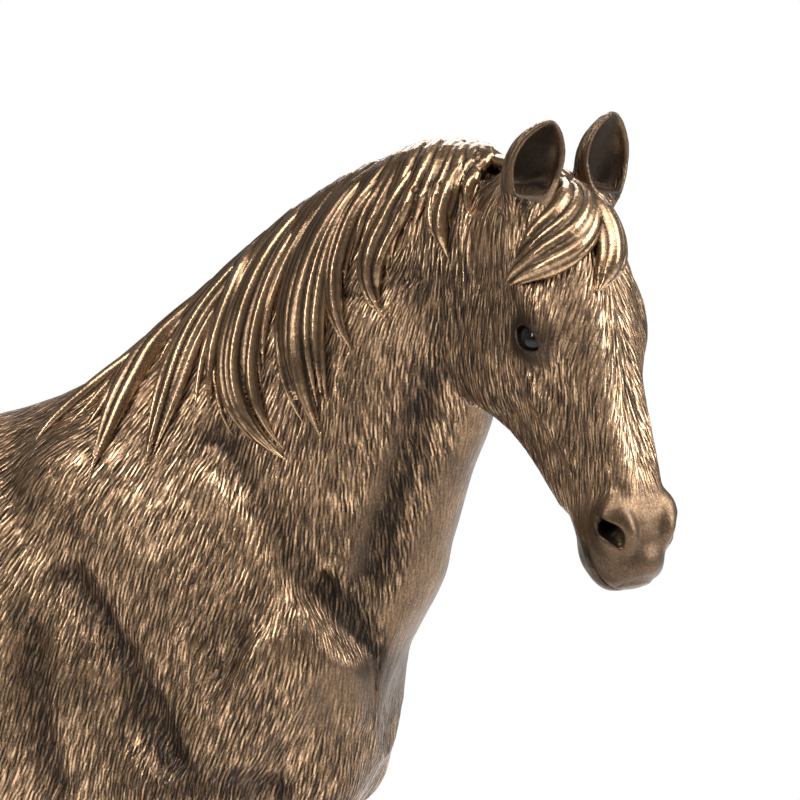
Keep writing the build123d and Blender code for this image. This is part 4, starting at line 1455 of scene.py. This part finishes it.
TUFT = 2.3 / 1000        # size of the patches in which the finest strokes run side by side


def strokes(n):
    """Short strokes side by side, patch by patch, across the mesh's stored direction: 1 in a stroke."""
    patch = n.add("ShaderNodeTexVoronoi", feature="F1")
    patch.inputs["Scale"].default_value = 1 / TUFT
    warp = n.add("ShaderNodeVectorMath", operation="MULTIPLY_ADD")
    drift = n.add("ShaderNodeTexNoise")
    drift.inputs["Scale"].default_value = 500
    n.link(n.where, drift.inputs["Vector"])
    n.link(drift.outputs["Color"], warp.inputs[0])
    warp.inputs[1].default_value = (0.0006, 0.0006, 0.0006)
    n.link(n.where, warp.inputs[2])
    n.link(warp.outputs[0], patch.inputs["Vector"])
    local = n.add("ShaderNodeVectorMath", operation="SUBTRACT")
    n.link(warp.outputs[0], local.inputs[0])
    n.link(patch.outputs["Position"], local.inputs[1])
    across = n.add("ShaderNodeVectorMath", operation="DOT_PRODUCT")
    n.link(local.outputs[0], across.inputs[0])
    n.link(n.add("ShaderNodeAttribute", attribute_name="across").outputs["Vector"], across.inputs[1])
    shade = n.add("ShaderNodeSeparateColor")
    n.link(patch.outputs["Color"], shade.inputs[0])
    turn = n.math("ADD", n.math("MULTIPLY", across.outputs["Value"], FULL_TURN),
                  n.math("MULTIPLY", shade.outputs[0], FULL_TURN))
    wave = n.math("COSINE", turn, 0)
    deep = n.span(wave, 0.1, 0.95)
    weak = n.span(shade.outputs[1], 0.0, 0.6, 0.35, 1.0)
    return n.math("MULTIPLY", n.math("MULTIPLY", deep, weak), n.attribute("tooled"))


def bronze(name, rub=0.0, dull=0.0, combed=True):
    """Cold-cast bronze: dark brown left in the hollows, the metal rubbed bright on whatever stands out."""
    n = Nodes(name)
    high = n.attribute("groove")
    cloud = n.noise(70, 4, 0.6, 0.4)
    speck = n.noise(2200, 2, 0.6)
    level = n.math("ADD", high, n.span(cloud, 0.3, 0.7, -0.12, 0.12))
    level = n.math("ADD", level, n.span(speck, 0.3, 0.7, -0.10, 0.10))
    level = n.math("ADD", level, rub)
    grain = n.math("ADD", n.math("MULTIPLY", speck, 0.4), n.noise(900, 3, 0.6))
    if combed:
        cut = strokes(n)
        level = n.math("SUBTRACT", level, n.math("MULTIPLY", cut, 0.42))
        grain = n.math("SUBTRACT", grain, n.math("MULTIPLY", cut, 1.3))
    n.colour(n.ramp(level, [
        (0.00, (0.009, 0.0065, 0.0045)),
        (0.30, (0.034, 0.0215, 0.0135)),
        (0.55, (0.098, 0.0605, 0.034)),
        (0.78, (0.222, 0.139, 0.079)),
        (1.00, (0.54, 0.350, 0.208)),
    ]))
    n.roughness(n.math("ADD", n.span(level, 0.2, 0.95, 0.52 + dull, 0.28 + dull),
                       n.span(cloud, 0.3, 0.7, -0.05, 0.05)))
    n.bump(grain, 0.00006, 0.8)
    n.fixed(Metallic=0.85)
    return n.material


def black_glass():
    n = Nodes("eye_black_gloss")
    n.colour(n.ramp(n.noise(400, 3), [(0.3, (0.003, 0.0025, 0.0025)), (0.75, (0.010, 0.008, 0.007))]))
    n.roughness(n.span(n.noise(1500, 2), 0.3, 0.7, 0.05, 0.10))
    n.fixed(Specular_IOR_Level=0.25)
    return n.material


def felt():
    n = Nodes("felt_dark")
    fibre = n.noise(2400, 4, 0.7, 1.5)
    n.colour(n.ramp(fibre, [(0.3, (0.010, 0.012, 0.010)), (0.7, (0.030, 0.034, 0.030))]))
    n.roughness(n.span(fibre, 0.3, 0.7, 0.85, 1.0))
    n.bump(fibre, 0.0002)
    n.fixed(Sheen_Weight=0.5, Sheen_Roughness=0.6)
    return n.material


def steel():
    n = Nodes("steel_plain")
    turned = n.noise(700, 3, 0.6, 0.0, (1, 1, 9))
    n.colour(n.ramp(turned, [(0.3, (0.38, 0.38, 0.39)), (0.7, (0.56, 0.56, 0.56))]))
    n.roughness(n.span(turned, 0.3, 0.7, 0.28, 0.42))
    n.bump(turned, 0.00003, 0.5)
    n.fixed(Metallic=1.0)
    return n.material


def dress(item, material):
    item.data.materials.clear()
    item.data.materials.append(material)


BRONZE = bronze("bronze_coat")
POLISHED = bronze("bronze_hair", dull=-0.11, combed=False)
GROUND_BRONZE = bronze("bronze_ground", rub=-0.16, dull=0.06, combed=False)
GLASS, FELT, STEEL = black_glass(), felt(), steel()

for name, piece in pieces.items():
    if name.startswith("eye"):
        dress(piece, GLASS)
    elif name.startswith(("mane", "forelock", "tail")) and name != "tail_dowel":
        dress(piece, POLISHED)
    elif name == "base":
        dress(piece, GROUND_BRONZE)
    else:
        dress(piece, BRONZE)

for item in list(bpy.data.objects):
    if item.type != "MESH" or item in pieces.values():
        continue
    name = item.name
    metal = STEEL
    if "felt" in name:
        metal = FELT
    elif name.startswith(("mane", "forelock")) or name == "tail":
        metal = POLISHED
    elif name.startswith("eye"):
        metal = GLASS
    elif name.startswith(("ear", "base")):
        metal = BRONZE
    for slot in item.material_slots:
        slot.material = metal


# ---- floor, light and camera ----
def floor():
    """A pale round floor that turns to the backdrop's white at its rim."""
    rim, sides = 1.6, 96
    mesh = bpy.data.meshes.new("floor")
    ring = [(rim * cos(2 * pi * i / sides), rim * sin(2 * pi * i / sides), 0) for i in range(sides)]
    mesh.from_pydata(ring, [], [tuple(range(sides))])
    item = bpy.data.objects.new("floor", mesh)
    bpy.context.scene.collection.objects.link(item)
    n = Nodes("floor_pale")
    n.colour(n.ramp(n.noise(3), [(0.3, (0.82, 0.82, 0.82)), (0.7, (0.86, 0.86, 0.86))]))
    n.fixed(Roughness=0.8)
    distance = n.add("ShaderNodeVectorMath", operation="LENGTH")
    n.link(n.where, distance.inputs[0])
    fade = n.math("MULTIPLY", n.span(distance.outputs["Value"], 0.16, 0.42),
                  n.add("ShaderNodeLightPath").outputs["Is Camera Ray"])
    white = n.add("ShaderNodeEmission")
    white.inputs["Strength"].default_value = 1.0
    blend = n.add("ShaderNodeMixShader")
    n.link(fade, blend.inputs["Fac"])
    n.link(n.shader.outputs[0], blend.inputs[1])
    n.link(white.outputs[0], blend.inputs[2])
    n.link(blend.outputs[0], n.tree.nodes["Material Output"].inputs["Surface"])
    dress(item, n.material)


def soft_light(name, azimuth, elevation, distance, width, height, power, aim=(0.09, -0.01, 0.2)):
    """A rectangular soft light; azimuth is measured like the camera's."""
    lamp = bpy.data.lights.new(name, "AREA")
    lamp.shape = "RECTANGLE"
    lamp.size, lamp.size_y, lamp.energy = width, height, power
    item = bpy.data.objects.new(name, lamp)
    a, e = radians(azimuth), radians(elevation)
    away = Vector((sin(a) * cos(e), -cos(a) * cos(e), sin(e)))
    item.location = Vector(aim) + away * distance
    item.rotation_euler = away.to_track_quat("Z", "Y").to_euler()
    bpy.context.scene.collection.objects.link(item)


floor()
soft_light("side", 102, 30, 0.9, 0.5, 0.8, 17)
soft_light("front", -10, 52, 1.0, 0.6, 0.45, 9)
soft_light("glint", -36, 24, 1.0, 0.12, 0.5, 4.0)
soft_light("right", 45, 62, 1.0, 0.5, 0.5, 6)
soft_light("behind", 190, 40, 1.0, 0.8, 0.5, 9)

world = bpy.data.worlds.new("studio")
bpy.context.scene.world = world
world.use_nodes = True
tree = world.node_tree
shown = tree.nodes["Background"]
shown.inputs["Color"].default_value = (1, 1, 1, 1)
shown.inputs["Strength"].default_value = 1.0
ambient = tree.nodes.new("ShaderNodeBackground")
ambient.inputs["Color"].default_value = (1, 1, 1, 1)
ambient.inputs["Strength"].default_value = 0.18
path = tree.nodes.new("ShaderNodeLightPath")
mix = tree.nodes.new("ShaderNodeMixShader")
tree.links.new(path.outputs["Is Camera Ray"], mix.inputs["Fac"])
tree.links.new(ambient.outputs[0], mix.inputs[1])
tree.links.new(shown.outputs[0], mix.inputs[2])
tree.links.new(mix.outputs[0], tree.nodes["World Output"].inputs["Surface"])

scene = bpy.context.scene
scene.view_settings.view_transform = "Standard"
camera = bpy.data.cameras.new("camera")
camera.lens = camera.sensor_width * CAMERA_DISTANCE / FRAME_WIDTH
camera.clip_end = 20
holder = bpy.data.objects.new("camera", camera)
scene.collection.objects.link(holder)
holder.location = Vector((LOOK_AT + TO_CAMERA * CAMERA_DISTANCE) / 1000)
holder.rotation_euler = Vector(TO_CAMERA).to_track_quat("Z", "Y").to_euler()
scene.camera = holder
log("scene ready")
